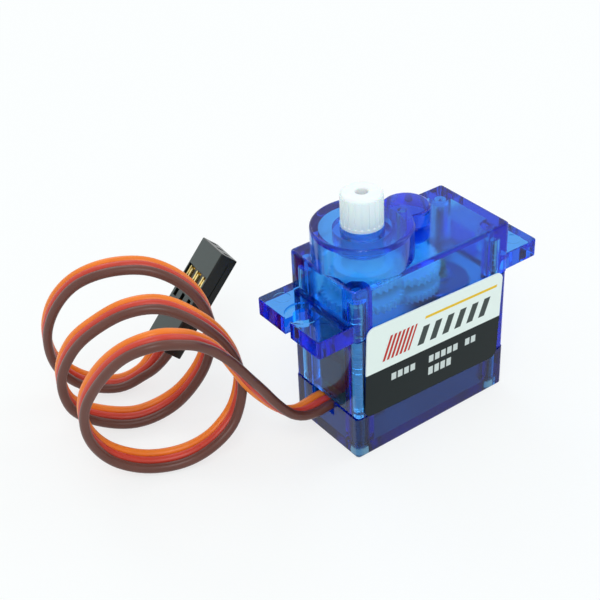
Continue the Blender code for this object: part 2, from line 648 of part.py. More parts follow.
def ribbon():
    """Flat three-wire lead: a bevelled strip swept along its route and fanned out at the plug."""
    path = smooth_path([(q[0] - HALF_L, *q[1:]) for q in ROUTE], RIBBON_SECTIONS)
    rings = []
    for i, (q, along) in enumerate(zip(path, directions(path))):
        across = Vector(q[3:])
        across = (across - along * across.dot(along)).normalized()
        up = along.cross(across)
        left = len(path) - 1 - i
        fan = max(0.0, 1 - left / 3)
        half = (RIBBON_W + (RIBBON_FAN - RIBBON_W) * fan) / 2
        t = RIBBON_T / 2
        shape = ((half, -0.35 * t), (half, 0.35 * t), (half - 0.3, t), (0.3 - half, t),
                 (-half, 0.35 * t), (-half, -0.35 * t), (0.3 - half, -t), (half - 0.3, -t))
        rings.append([tuple(Vector(q[:3]) + across * a + up * b) for a, b in shape])
    return loft(rings)


def motor_leads(red, black):
    start_z = MOTOR_BASE - 0.75
    face = BOARD_X + BOARD_T / 2 + 0.3
    for name, mat, s in (("motor_lead_red", red, 1), ("motor_lead_black", black, -1)):
        points = [(MOTOR_X - 0.4, s * 1.6, start_z), (MOTOR_X - 1.6, s * 2.0, start_z - 0.9),
                  (MOTOR_X - 4.5, s * 2.9, start_z - 0.9), (trim_x() + 1.5, s * 3.3, start_z - 0.3),
                  (trim_x() - 0.6, s * 3.1, start_z + 0.9), (face, s * 2.4, start_z + 1.4)]
        node(name, tube(points, 0.32), mat)


# ---- plug ----------------------------------------------------------------------------------
def plug(black, gold):
    """Three-way socket housing.  Its own Z runs from the wire end to the mating end."""
    along = PLUG_ALONG.normalized()
    across = (PLUG_ACROSS - along * PLUG_ACROSS.dot(along)).normalized()
    up = along.cross(across)
    pose = Matrix((across, up, along)).transposed().to_4x4()
    body = soft_block(PLUG_W, PLUG_T, 0, PLUG_L, 0.2, low=0.15, high=0.15)
    for k in (-1, 0, 1):
        x = k * PLUG_PITCH
        body = cut(body, box(x - 0.8, x + 0.8, -0.75, 0.75, -1, PLUG_L - 1.4))
        body = cut(body, box(x - 0.45, x + 0.45, -0.45, 0.45, PLUG_L - 2, PLUG_L + 1))
        body = cut(body, box(x - 0.7, x + 0.7, -PLUG_T, 0, PLUG_L - 6.0, PLUG_L - 3.8))
        body = cut(body, box(x - 0.5, x + 0.5, -PLUG_T, 0, PLUG_L - 8.2, PLUG_L - 7.1))
    housing = node("plug_housing", body, black, PLUG_END)
    housing.rotation_euler = pose.to_euler()
    for k in (-1, 0, 1):
        contact = box(-0.5, 0.5, -0.45, 0.45, 0.6, PLUG_L - 2.2)
        contact = cut(contact, box(-0.28, 0.28, -0.22, 0.22, PLUG_L - 7.0, PLUG_L))
        item = node(f"plug_contact_{k + 2}", contact, gold)
        item.location = (PLUG_END + across * k * PLUG_PITCH) * MM
        item.rotation_euler = pose.to_euler()


def label(mat):
    plate = prism(rounded(LABEL_L, LABEL_H, 1.0, 6), -LABEL_T / 2, LABEL_T / 2)
    plate.transform(Matrix.Rotation(math.pi / 2, 4, "X"))
    sticker = node("side_label", plate, mat, (0, -HALF_W - LABEL_GAP - LABEL_T / 2, LABEL_Z))
    sticker.rotation_euler = (0, math.radians(LABEL_TILT), 0)


def main():
    clear_scene()
    clear_blue = material("clear_blue", (0.03, 0.12, 0.62), roughness=0.1, clear=0.8)
    nylon = material("white_nylon", (0.9, 0.9, 0.88), roughness=0.35)
    steel = material("steel", (0.55, 0.56, 0.58), metallic=1.0, roughness=0.3)
    brass = material("brass", (0.75, 0.58, 0.25), metallic=1.0, roughness=0.3)
    copper = material("copper_winding", (0.6, 0.28, 0.12), metallic=0.8, roughness=0.4)
    magnet = material("ferrite", (0.08, 0.08, 0.09), roughness=0.6)
    black = material("black_plastic", (0.02, 0.022, 0.022), roughness=0.45)
    white = material("motor_cap_white", (0.8, 0.8, 0.78), roughness=0.5)
    green = material("board_green", (0.03, 0.2, 0.08), roughness=0.4)
    silver = material("silver_can", (0.8, 0.8, 0.82), metallic=1.0, roughness=0.25)
    trimmer = material("trimmer_blue", (0.05, 0.15, 0.5), roughness=0.45)
    slate = material("trimmer_white", (0.85, 0.85, 0.85), roughness=0.4)
    red = material("wire_red", (0.7, 0.05, 0.03), roughness=0.4)
    wire_black = material("wire_black", (0.02, 0.02, 0.02), roughness=0.4)
    cord = material("ribbon_orange", (0.85, 0.25, 0.05), roughness=0.4)
    gold = material("gold_contact", (0.85, 0.65, 0.2), metallic=1.0, roughness=0.25)
    paper = material("label_film", (0.9, 0.92, 0.9), roughness=0.35)

    bottom_cover(clear_blue)
    middle_case(clear_blue)
    top_case(clear_blue)
    label(paper)
    case_screws(steel)
    gear_train(nylon, brass, steel)
    motor(steel, white, copper, magnet)
    board(green, black, silver, trimmer, slate)
    motor_leads(red, wire_black)
    node("lead_ribbon", ribbon(), cord)
    plug(black, gold)


main()
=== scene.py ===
"""Finished looks of a micro servo: clear blue shells, white splined shaft, sticker and coiled lead.

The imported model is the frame.  Lengths below are in millimetres and become metres in each mesh.
"""
import math

import bmesh
import bpy
from bpy.props import FloatProperty, FloatVectorProperty, IntProperty, PointerProperty
from mathutils import Matrix, Vector


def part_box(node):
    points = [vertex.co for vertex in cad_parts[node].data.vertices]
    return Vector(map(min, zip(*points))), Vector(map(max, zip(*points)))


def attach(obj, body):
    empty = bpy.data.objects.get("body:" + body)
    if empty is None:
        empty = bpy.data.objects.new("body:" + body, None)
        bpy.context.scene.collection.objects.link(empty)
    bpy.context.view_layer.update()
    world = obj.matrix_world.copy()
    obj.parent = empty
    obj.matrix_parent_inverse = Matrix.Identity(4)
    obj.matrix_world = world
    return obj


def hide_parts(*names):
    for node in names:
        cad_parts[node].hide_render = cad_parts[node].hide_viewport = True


bl_info = {
    "name": "Clear micro servo",
    "version": (1, 0, 0),
    "blender": (4, 5, 0),
    "location": "View3D > Sidebar > Servo",
    "description": "Builds the shells, shaft, motor, board, sticker and three-wire lead of a micro servo",
    "category": "Object",
}

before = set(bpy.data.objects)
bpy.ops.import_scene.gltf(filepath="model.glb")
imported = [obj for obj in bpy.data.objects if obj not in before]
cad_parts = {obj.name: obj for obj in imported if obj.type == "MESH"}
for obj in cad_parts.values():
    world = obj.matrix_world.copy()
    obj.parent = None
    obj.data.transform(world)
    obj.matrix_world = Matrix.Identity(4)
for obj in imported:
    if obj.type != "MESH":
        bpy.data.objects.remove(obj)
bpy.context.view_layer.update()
MM = 0.001


def corners_of(name):
    """Lowest and highest corner of a CAD node in millimetres."""
    low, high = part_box(name)
    return [c / MM for c in low], [c / MM for c in high]


def middle_of(name, axis):
    low, high = corners_of(name)
    return (low[axis] + high[axis]) / 2


# ---- places taken from the frame -----------------------------------------------------------
COVER_HIGH = corners_of("bottom_cover")[1]
MIDDLE_LOW, MIDDLE_HIGH = corners_of("middle_case")
TOP_LOW, TOP_HIGH = corners_of("top_case")
HALF_L = COVER_HIGH[0]
HALF_W = COVER_HIGH[1]
COVER_H = COVER_HIGH[2]
EAR_Z = TOP_LOW[2]
TOP_Z = TOP_HIGH[2]
EAR_TIP = TOP_HIGH[0]
DECK_TOP = MIDDLE_HIGH[2]
SHAFT_TOP = corners_of("output_gear")[1][2]
OUT_X = middle_of("output_gear", 0)
PIN_X = middle_of("gear_pin", 0)
MOTOR_X = middle_of("motor_can", 0)
TRIM_X = middle_of("trim_pot_rotor", 0)
TURRET_R = OUT_X + HALF_L

# ---- sizes that the boxes don't give -------------------------------------------------------
CASE_H = 23.5
ROOF = 1.1
FLOOR = 1.2
DECK = 1.1
ROOF_Z = CASE_H - ROOF
DECK_LOW = DECK_TOP - DECK
COLUMN_IN = 1.5
COLUMN_R = 1.35
COLUMN_X = HALF_L - COLUMN_IN
COLUMN_Y = HALF_W - COLUMN_IN
CORNER_R = 0.5                     # upright outer corners of the case
INNER_CORNER_R = 0.4
SEAM_EDGE = 0.06                   # rounding along the seams between the mouldings
SCREW_HOLE_R = 0.72
SCREW_HOLE_END = CASE_H - 2.1
HEAD_POCKET_R = 1.1
BOSS_R = 2.8
BOSS_LEAN = 0.2                    # share of its radius that the boss stands nearer to the motor than the pin
BOSS_X = PIN_X + BOSS_LEAN * BOSS_R
EAR_T = 2.3
EAR_W = 2 * HALF_W - 0.4
EAR_HOLE_X = EAR_TIP - 2.2
PIN_R = 0.5
PIN_GAP = 0.04
HUB_R = 3.35                       # bearing sleeve in the turret and the hub under it
SHAFT_R = 2.45
SLEEVE_BORE_R = 2.55
SHAFT_HOLE_R = 0.72
SHAFT_HOLE_MOUTH_R = 0.88
SHAFT_HOLE_DEPTH = 3
NOTCH = (0.6, 4.2, 3.8)            # middle, width and lower edge of the lead's outlet
PLUG = (7.4, 2.4, 14.2)            # width, thickness and length of the connector
PITCH = 2.4
PLUG_END = Vector((-20.7, 21.8, 5.2))
PLUG_ALONG = Vector((0.674, 0.001, 0.739)).normalized()
PLUG_ACROSS = Vector((-0.222, -0.953, 0.204))
PLUG_ACROSS = (PLUG_ACROSS - PLUG_ALONG * PLUG_ACROSS.dot(PLUG_ALONG)).normalized()
PLUG_POSE = Matrix((PLUG_ACROSS, PLUG_ALONG.cross(PLUG_ACROSS), PLUG_ALONG)).transposed().to_4x4()

# ---- shares for the looks ------------------------------------------------------------------
COVER_SHADE_SHARE = 0.5                  # tint of the bottom cover beside that of the other two mouldings, darkened and with stronger absorption as painted shade at the base of the case
CLEAR_INDEX = 1.38                 # refraction index, below a real plastic's
FLOOR_IN_CLEAR = 0.05              # white of the floor as it shows through clear parts

# Centre line of the lead in metres, and the way from its brown wire to its orange one.
ROUTE = [
    (-0.00970, 0.00060, 0.00470, 0.00, 1.00, 0.00),
    (-0.01190, 0.00062, 0.00470, 0.00, 1.00, 0.00),
    (-0.01305, 0.00066, 0.00456, 0.07, 1.00, -0.03),
    (-0.01477, 0.00082, 0.00456, 0.10, 0.97, -0.21),
    (-0.01644, 0.00117, 0.00536, 0.03, 0.96, -0.29),
    (-0.01812, 0.00175, 0.00732, -0.10, 0.95, -0.30),
    (-0.01977, 0.00224, 0.00988, -0.22, 0.94, -0.25),
    (-0.02135, 0.00241, 0.01266, -0.11, 0.98, -0.14),
    (-0.02267, 0.00265, 0.01503, 0.05, 0.99, -0.12),
    (-0.02386, 0.00302, 0.01678, 0.20, 0.98, -0.07),
    (-0.02529, 0.00342, 0.01819, 0.17, 0.98, 0.04),
    (-0.02728, 0.00349, 0.01963, 0.15, 0.99, 0.07),
    (-0.03058, 0.00404, 0.02072, 0.36, 0.93, -0.01),
    (-0.03370, 0.00600, 0.01940, 0.42, 0.90, -0.05),
    (-0.03600, 0.00840, 0.01590, 0.38, 0.92, 0.05),
    (-0.03750, 0.01010, 0.01160, 0.38, 0.92, 0.05),
    (-0.03730, 0.01060, 0.00710, 0.38, 0.92, 0.05),
    (-0.03512, 0.01021, 0.00310, 0.42, 0.90, 0.13),
    (-0.03168, 0.00837, 0.00122, 0.42, 0.90, 0.13),
    (-0.02759, 0.00653, 0.00116, 0.42, 0.90, 0.13),
    (-0.02394, 0.00528, 0.00285, 0.38, 0.92, 0.05),
    (-0.02073, 0.00563, 0.00519, 0.38, 0.92, 0.05),
    (-0.01942, 0.00594, 0.00965, 0.38, 0.92, 0.05),
    (-0.02041, 0.00678, 0.01407, 0.38, 0.92, 0.05),
    (-0.02287, 0.00798, 0.01771, 0.42, 0.90, -0.05),
    (-0.02604, 0.01032, 0.01999, 0.42, 0.90, -0.05),
    (-0.02951, 0.01275, 0.01967, 0.42, 0.90, -0.05),
    (-0.03279, 0.01539, 0.01710, 0.42, 0.90, -0.05),
    (-0.03490, 0.01750, 0.01390, 0.38, 0.92, 0.05),
    (-0.03610, 0.01890, 0.00960, 0.38, 0.92, 0.05),
    (-0.03530, 0.01910, 0.00500, 0.38, 0.92, 0.05),
    (-0.03213, 0.01841, 0.00195, 0.42, 0.90, 0.13),
    (-0.02828, 0.01624, 0.00122, 0.42, 0.90, 0.13),
    (-0.02402, 0.01486, 0.00240, 0.42, 0.90, 0.13),
    (-0.02124, 0.01325, 0.00595, 0.38, 0.92, 0.05),
    (-0.01943, 0.01276, 0.00968, 0.38, 0.92, 0.05),
    (-0.01890, 0.01290, 0.01410, 0.38, 0.92, 0.05),
    (-0.02030, 0.01460, 0.01800, 0.42, 0.90, -0.05),
    (-0.02330, 0.01730, 0.02040, 0.42, 0.90, -0.05),
    (-0.02700, 0.02020, 0.02050, 0.42, 0.90, -0.05),
    (-0.03040, 0.02300, 0.01870, 0.42, 0.90, -0.05),
    (-0.03280, 0.02510, 0.01520, 0.38, 0.92, 0.05),
    (-0.03390, 0.02640, 0.01070, 0.38, 0.92, 0.05),
    (-0.03330, 0.02670, 0.00600, 0.38, 0.92, 0.05),
    (-0.03070, 0.02570, 0.00240, 0.52, 0.86, -0.02),
    (-0.02685, 0.02361, 0.00115, 0.46, 0.88, -0.06),
    (-0.02340, 0.02230, 0.00250, 0.32, 0.94, -0.15),
    (-0.02090, 0.02180, 0.00500, 0.22, 0.95, -0.20),
]


# ---- settings ------------------------------------------------------------------------------
def colour_prop(name, description, default):
    return FloatVectorProperty(name=name, description=description, default=default, size=3,
                               subtype="COLOR", min=0.0, max=1.0)


def length_prop(name, description, default):
    return FloatProperty(name=name, description=description, default=default, min=0.0,
                         precision=5, unit="LENGTH")


def share_prop(name, description, default):
    return FloatProperty(name=name, description=description, default=default, min=0.0, max=1.0)


class ShellSettings(bpy.types.PropertyGroup):
    """Clear mouldings of the case."""
    wall: length_prop("Wall", "Thickness of the side walls", 0.001)
    edge: length_prop("Edge", "Radius of the outer edges", 0.00035)
    tint: colour_prop("Tint", "Colour that the surface of the plastic gives to light", (0.60, 0.88, 1.0))
    depth_colour: colour_prop("Depth colour", "Colour that a thick wall lets through", (0.0, 0.60, 0.95))
    satin: share_prop("Satin", "Roughness of the inner faces of the mouldings", 0.16)
    density: FloatProperty(name="Density", description="How fast the plastic darkens, for each metre",
                           default=820.0, min=0.0)


class LeadSettings(bpy.types.PropertyGroup):
    """Three-wire lead and its connector."""
    wire: length_prop("Wire", "Diameter of one wire over its insulation", 0.00115)
    spacing: length_prop("Spacing", "Distance between the wires of the ribbon", 0.001125)
    sections: IntProperty(name="Sections", description="Rings of points along the lead", default=300, min=60)
    orange: colour_prop("Signal wire", "Colour of the signal wire", (0.95, 0.22, 0.01))
    red: colour_prop("Supply wire", "Colour of the supply wire", (0.62, 0.045, 0.02))
    brown: colour_prop("Ground wire", "Colour of the ground wire", (0.12, 0.035, 0.022))


class LabelSettings(bpy.types.PropertyGroup):
    """Printed sticker on the side."""
    paper: colour_prop("Light half", "Colour of the upper half", (0.80, 0.88, 0.83))
    ink: colour_prop("Dark half", "Colour of the lower half", (0.008, 0.014, 0.015))
    bars: colour_prop("Bars", "Colour of the slanted bars at the shaft end", (0.50, 0.03, 0.02))
    line: colour_prop("Line", "Colour of the thin line over the bars", (0.80, 0.52, 0.02))


class StageSettings(bpy.types.PropertyGroup):
    """Floor, lamps and camera."""
    floor: colour_prop("Floor", "Colour of the floor", (0.90, 0.96, 0.955))
    clean: share_prop("Clean floor", "Share of plain white in the floor as it is seen", 0.72)
    sky: FloatProperty(name="Sky", description="Strength of the even light from all around",
                       default=0.75, min=0.0)
    key: FloatProperty(name="Key lamp", description="Power of the main soft lamp", default=1.1, min=0.0,
                       unit="POWER")
    lens: FloatProperty(name="Lens", description="Focal length in millimetres", default=75.24, min=10.0)


# ---- mesh helpers --------------------------------------------------------------------------
def mesh_from(name, verts, faces):
    """A closed mesh in metres from vertices in millimetres, with its faces turned outwards."""
    mesh = bpy.data.meshes.new(name)
    mesh.from_pydata([[c * MM for c in v] for v in verts], [], faces)
    tidy_normals(mesh)
    return mesh


def tidy_normals(mesh):
    bm = bmesh.new()
    bm.from_mesh(mesh)
    bmesh.ops.recalc_face_normals(bm, faces=bm.faces)
    bm.to_mesh(mesh)
    bm.free()


def prism(outline, z0, z1):
    """Straight prism over a plane outline."""
    return loft([[(x, y, z) for x, y in outline] for z in (z0, z1)])


def loft(rings):
    """Closed skin through rings of equal length, capped at both ends."""
    n = len(rings[0])
    verts = [v for ring in rings for v in ring]
    faces = []
    for k in range(len(rings) - 1):
        for i in range(n):
            j = (i + 1) % n
            faces.append([k * n + i, k * n + j, (k + 1) * n + j, (k + 1) * n + i])
    last = (len(rings) - 1) * n
    faces += [list(range(n))[::-1], list(range(last, last + n))]
    return mesh_from("loft", verts, faces)


def lathe(profile, steps=64, x=0.0, y=0.0):
    """Turn a profile of (radius, height) about an upright axis, from pole to pole or as a loop."""
    closed = profile[0][0] > 0
    turn = [2 * math.pi * k / steps for k in range(steps)]
    verts, rings = [], []
    for r, z in profile:
        if r == 0:
            rings.append([len(verts)])
            verts.append((x, y, z))
            continue
        rings.append(list(range(len(verts), len(verts) + steps)))
        verts += [(x + r * math.cos(a), y + r * math.sin(a), z) for a in turn]
    pairs = list(zip(rings, rings[1:]))
    if closed:
        pairs.append((rings[-1], rings[0]))
    faces = []
    for a, b in pairs:
        for k in range(steps):
            m = (k + 1) % steps
            if len(a) == 1:
                faces.append([a[0], b[k], b[m]])
            elif len(b) == 1:
                faces.append([a[k], a[m], b[0]])
            else:
                faces.append([a[k], a[m], b[m], b[k]])
    return mesh_from("turned", verts, faces)


def cylinder(x, y, radius, z0, z1, steps=48):
    return lathe([(0, z0), (radius, z0), (radius, z1), (0, z1)], steps, x, y)


def box(x0, x1, y0, y1, z0, z1):
    return prism([(x0, y0), (x1, y0), (x1, y1), (x0, y1)], z0, z1)


def rounded(length, width, radius, steps=6, x=0.0):
    """Outline of a rectangle with round corners."""
    points = []
    for k, (sx, sy) in enumerate(((1, 1), (-1, 1), (-1, -1), (1, -1))):
        for i in range(steps + 1):
            a = math.pi / 2 * (k + i / steps)
            points.append((x + sx * (length / 2 - radius) + radius * math.cos(a),
                           sy * (width / 2 - radius) + radius * math.sin(a)))
    return points


def soft_block(length, width, z0, z1, radius, low=0.0, high=0.0, x=0.0, steps=4):
    """Upright block with round corners and rounded lower and upper edges."""
    levels = [(z0, 0.0)]
    if low:
        turn = [math.pi / 2 * k / steps for k in range(steps + 1)]
        levels = [(z0 + low * (1 - math.cos(a)), low * (1 - math.sin(a))) for a in turn]
    if high:
        turn = [math.pi / 2 * (1 - k / steps) for k in range(steps + 1)]
        levels += [(z1 - high * (1 - math.cos(a)), high * (1 - math.sin(a))) for a in turn]
    else:
        levels.append((z1, 0.0))
    return loft([[(px, py, z) for px, py in
                  rounded(length - 2 * s, width - 2 * s, max(radius - s, 0.05), x=x)] for z, s in levels])


def rim(radius, z, edge, steps=4):
    """Profile points of a rounded upper rim, from the wall to the flat top."""
    turn = [math.pi / 2 * k / steps for k in range(steps + 1)]
    return [(radius - edge * (1 - math.cos(a)), z - edge * (1 - math.sin(a))) for a in turn]


def combine(mesh, other, operation):
    """Exact union or difference of two closed meshes."""
    base = bpy.data.objects.new("base", mesh)
    tool = bpy.data.objects.new("tool", other)
    for obj in (base, tool):
        bpy.context.scene.collection.objects.link(obj)
    mod = base.modifiers.new("combine", "BOOLEAN")
    mod.operation = operation
    mod.solver = "EXACT"
    mod.object = tool
    result = evaluated_mesh(base)
    bpy.data.objects.remove(base)
    bpy.data.objects.remove(tool)
    bm = bmesh.new()
    bm.from_mesh(result)
    bmesh.ops.remove_doubles(bm, verts=bm.verts, dist=1e-7)
    bmesh.ops.dissolve_degenerate(bm, edges=bm.edges, dist=1e-7)
    bm.to_mesh(result)
    bm.free()
    return result


def union(mesh, *others):
    for other in others:
        mesh = combine(mesh, other, "UNION")
    return mesh


def cut(mesh, *others):
    for other in others:
        mesh = combine(mesh, other, "DIFFERENCE")
    return mesh


def join(*meshes):
    """Several closed bodies in one mesh."""
    bm = bmesh.new()
    for mesh in meshes:
        bm.from_mesh(mesh)
    result = bpy.data.meshes.new("joined")
    bm.to_mesh(result)
    bm.free()
    return result


def evaluated_mesh(obj):
    """Plain mesh of an object with its modifiers worked in."""
    bpy.context.view_layer.update()
    graph = bpy.context.evaluated_depsgraph_get()
    return bpy.data.meshes.new_from_object(obj.evaluated_get(graph))


def piece(name, mesh, material, body, stands_for=(), smooth=None):
    """Put a finished mesh in the scene, riding on a body of the frame."""
    obj = bpy.data.objects.new(name, mesh)
    mesh.name = name
    if material is not None:
        mesh.materials.clear()
        mesh.materials.append(material)
    bpy.context.scene.collection.objects.link(obj)
    if smooth is not None:
        soften(obj, smooth)
    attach(obj, body)
    if stands_for:
        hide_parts(*stands_for)
    return obj


def soften(obj, degrees):
    """Smooth shading that keeps flat faces flat: sharp past an angle, weighted by face area."""
    mesh = obj.data
    mesh.polygons.foreach_set("use_smooth", [True] * len(mesh.polygons))
    mesh.set_sharp_from_angle(angle=math.radians(degrees))
    mod = obj.modifiers.new("weighted", "WEIGHTED_NORMAL")
    mod.mode = "FACE_AREA"
    mod.weight = 100
    mod.keep_sharp = True
    result = evaluated_mesh(obj)
    obj.modifiers.clear()
    name = mesh.name
    obj.data = result
    bpy.data.meshes.remove(mesh)
    result.name = name


def corners():
    return [(sx, sy) for sx in (-1, 1) for sy in (-1, 1)]


# ---- node helpers --------------------------------------------------------------------------
def opaque(value):
    """A colour of three numbers with full opacity, and anything else as it is."""
    return (*value, 1.0) if isinstance(value, tuple) and len(value) == 3 else value


def operation(kind, last=False):
    """Method that puts a signal, as first or last value, through a maths node."""
    def method(signal, *others):
        return signal.math(kind, *others, signal) if last else signal.math(kind, signal, *others)
    return method


class Signal:
    """A node's output that takes part in Python arithmetic."""

    def __init__(self, graph, socket):
        self.graph = graph
        self.socket = socket

    def other(self, name):
        """Another output of the same node."""
        return Signal(self.graph, self.socket.node.outputs[name])

    def math(self, operation, *values):
        return self.graph.node("ShaderNodeMath", {"operation": operation}, dict(enumerate(values)))

    __add__ = operation("ADD")
    __radd__ = operation("ADD", last=True)
    __sub__ = operation("SUBTRACT")
    __rsub__ = operation("SUBTRACT", last=True)
    __mul__ = operation("MULTIPLY")
    __truediv__ = operation("DIVIDE")
    __gt__ = operation("GREATER_THAN")
    fract = operation("FRACT")
    floor = operation("FLOOR")
    root = operation("SQRT")
    absolute = operation("ABSOLUTE")
    highest = operation("MAXIMUM")
    lowest = operation("MINIMUM")

    def within(self, low, high, soft=0.04):
        """1 between two values and 0 outside them, with a soft step."""
        rise = ((self - low) / soft + 0.5).highest(0.0).lowest(1.0)
        fall = ((high - self) / soft + 0.5).highest(0.0).lowest(1.0)
        return rise * fall


class Graph:
    """Adds nodes to a tree.  Every node comes from the node method."""

    def __init__(self, tree):
        self.tree = tree

    def node(self, kind, settings=None, inputs=None):
        """A node with its settings made first, then values or links on its inputs."""
        made = self.tree.nodes.new(kind)
        for key, value in (settings or {}).items():
            setattr(made, key, value)
        for key, value in (inputs or {}).items():
            if isinstance(value, Signal):
                self.tree.links.new(value.socket, made.inputs[key])
            else:
                made.inputs[key].default_value = value
        return Signal(self, made.outputs[0]) if made.outputs else None

    def place(self):
        """Object coordinates in millimetres."""
        coords = self.node("ShaderNodeTexCoord").other("Object")
        return self.node("ShaderNodeMapping", {}, {"Vector": coords, "Scale": (1 / MM, 1 / MM, 1 / MM)})

    def axes(self, vector):
        parts = self.node("ShaderNodeSeparateXYZ", {}, {"Vector": vector})
        return parts, parts.other("Y"), parts.other("Z")

    def noise(self, vector, scale, detail=2.0):
        return self.node("ShaderNodeTexNoise", {}, {"Vector": vector, "Scale": scale, "Detail": detail})

    def mix(self, factor, first, second):
        """Blend of two colours."""
        inputs = {0: factor, 6: opaque(first), 7: opaque(second)}
        made = self.node("ShaderNodeMix", {"data_type": "RGBA"}, inputs)
        return Signal(self, made.socket.node.outputs[2])

    def bump(self, height, strength, distance=0.00005):
        return self.node("ShaderNodeBump", {}, {"Height": height, "Strength": strength, "Distance": distance})

    def principled(self, **inputs):
        names = {"colour": "Base Color", "rough": "Roughness", "metal": "Metallic", "normal": "Normal",
                 "ior": "IOR", "clear": "Transmission Weight", "coat": "Coat Weight",
                 "specular": "Specular IOR Level", "soft": "Subsurface Weight",
                 "soft_size": "Subsurface Scale"}
        values = {names[key]: opaque(value) for key, value in inputs.items()}
        return self.node("ShaderNodeBsdfPrincipled", {}, values)


def material(name, build):
    """New material whose nodes come from build(graph), which returns a surface and maybe a volume."""
    mat = bpy.data.materials.new(name)
    mat.use_nodes = True
    mat.node_tree.nodes.clear()
    graph = Graph(mat.node_tree)
    made = build(graph)
    surface, volume = made if isinstance(made, tuple) else (made, None)
    inputs = {"Surface": surface}
    if volume is not None:
        inputs["Volume"] = volume
    graph.node("ShaderNodeOutputMaterial", {}, inputs)
    return mat


def darker(colour, share):
    return tuple(c * share for c in colour)


# ---- finishes ------------------------------------------------------------------------------
def clear_plastic(shell, share=1.0):
    """Tinted clear plastic, darker where it is thick.

    Lamps reach the inside through it.  Its index is low to hold back pale reflections.
    """
    def build(g):
        place = g.place()
        haze = g.noise(place, 0.35, 2.0)
        grain = g.noise(place, 9.0, 2.0)
        # A share below one is painted shade: it darkens the tint of the whole moulding.
        tint = darker(tuple(shell.tint), share)
        colour = g.mix(haze, darker(tint, 0.95), tint)
        x, y, z = g.axes(place)
        depth = 0.5
        inside_x = HALF_L - depth - x.absolute()
        inside_y = HALF_W - depth - y.absolute()
        inside = inside_x.lowest(inside_y).lowest(CASE_H - depth - z)
        from_axis = x - OUT_X
        reach = (from_axis * from_axis + y * y).root()
        turret = (TURRET_R - depth - reach).lowest(TOP_Z - depth - z)
        satin = inside.highest(turret).within(0.0, 100.0, 0.1)
        glass = g.principled(colour=colour, rough=0.02 + grain * 0.04 + satin * shell.satin, ior=CLEAR_INDEX,
                             clear=1.0, specular=0.22, normal=g.bump(haze, 0.06, 0.0002))
        lamps = g.node("ShaderNodeBsdfTransparent", {}, {"Color": (*tint, 1.0)})
        shadow = g.node("ShaderNodeLightPath").other("Is Shadow Ray")
        surface = g.node("ShaderNodeMixShader", {}, {0: shadow, 1: glass, 2: lamps})
        # Painted shade: a share below one also thickens the absorption.
        volume = g.node("ShaderNodeVolumeAbsorption", {},
                        {"Color": (*tuple(shell.depth_colour), 1.0), "Density": shell.density / share})
        return surface, volume
    return material("clear_blue_plastic", build)


def moulded(name, colour, rough=0.4, grain=6.0, relief=0.15, shade=0.85, soft=0.0):
    """Moulded plastic with faint cloudy colour and a fine skin."""
    def build(g):
        place = g.place()
        cloud = g.noise(place, 0.5, 3.0)
        fine = g.noise(place, grain, 3.0)
        return g.principled(colour=g.mix(cloud, darker(colour, shade), colour),
                            rough=rough - 0.06 + fine * 0.12, specular=0.35,
                            normal=g.bump(fine, relief, 0.00002), soft=soft, soft_size=0.001)
    return material(name, build)


def plated(name, colour, rough=0.3, stretch=(1.0, 1.0, 12.0)):
    """Drawn or turned metal with fine lines across the stretched axis."""
    def build(g):
        place = g.place()
        lines = g.node("ShaderNodeMapping", {}, {"Vector": place, "Scale": stretch})
        fine = g.noise(lines, 3.0, 3.0)
        cloud = g.noise(place, 0.4, 2.0)
        return g.principled(colour=g.mix(cloud, darker(colour, 0.8), colour), metal=1.0,
                            rough=rough - 0.08 + fine * 0.16, normal=g.bump(fine, 0.1, 0.00002))
    return material(name, build)


def winding(name, colour):
    """Enamelled copper wire laid side by side, with painted shade darkening the grooves between the turns."""
    def build(g):
        place = g.place()
        z = g.axes(place)[2]
        # One pattern raises the turns in the bump and paints shade into the grooves between them.
        ridges_and_groove_shade = ((z * 3.2 + g.noise(place, 1.0) * 0.6).fract() - 0.5).absolute() * 2.0
        return g.principled(colour=g.mix(ridges_and_groove_shade, darker(colour, 0.35), colour), metal=0.9, rough=0.35,
                            normal=g.bump(ridges_and_groove_shade, 0.6, 0.0001))
    return material(name, build)


def solder_mask(name, colour):
    """Circuit board with tracks that show a little lighter under the mask."""
    def build(g):
        place = g.place()
        y, z = g.axes(place)[1:]
        lane = (y * 1.4 + (z * 0.5).floor() * 0.37).fract()
        track = lane.within(0.3, 0.62, 0.06) * g.noise(place, 0.5, 1.0).within(0.42, 2.0, 0.02)
        fine = g.noise(place, 14.0, 2.0)
        light = tuple(min(1.0, c * 2.2 + 0.02) for c in colour)
        return g.principled(colour=g.mix(track, colour, light), rough=0.28 + fine * 0.1, coat=0.3,
                            normal=g.bump(track, 0.3, 0.00003))
    return material(name, build)


def insulation(name, colour):
    """Soft glossy wire cover, with a slow change of shade along the wire and a fine skin."""
    def build(g):
        run = g.node("ShaderNodeUVMap", {"uv_map": "UVMap"})
        along, around = g.axes(run)[:2]
        place = g.place()
        cloud = g.noise(place, 0.25, 2.0)
        lines = g.node("ShaderNodeCombineXYZ", {}, {"X": along * 30.0, "Y": around * 6.0})
        fine = g.noise(lines, 4.0, 3.0)
        light = tuple(min(1.0, c * 1.12 + 0.01) for c in colour)
        return g.principled(colour=g.mix(cloud, darker(colour, 0.82), light), rough=0.27 + fine * 0.14,
                            specular=0.4, soft=0.08, soft_size=0.0008,
                            normal=g.bump(fine, 0.08, 0.00002))
    return material(name, build)


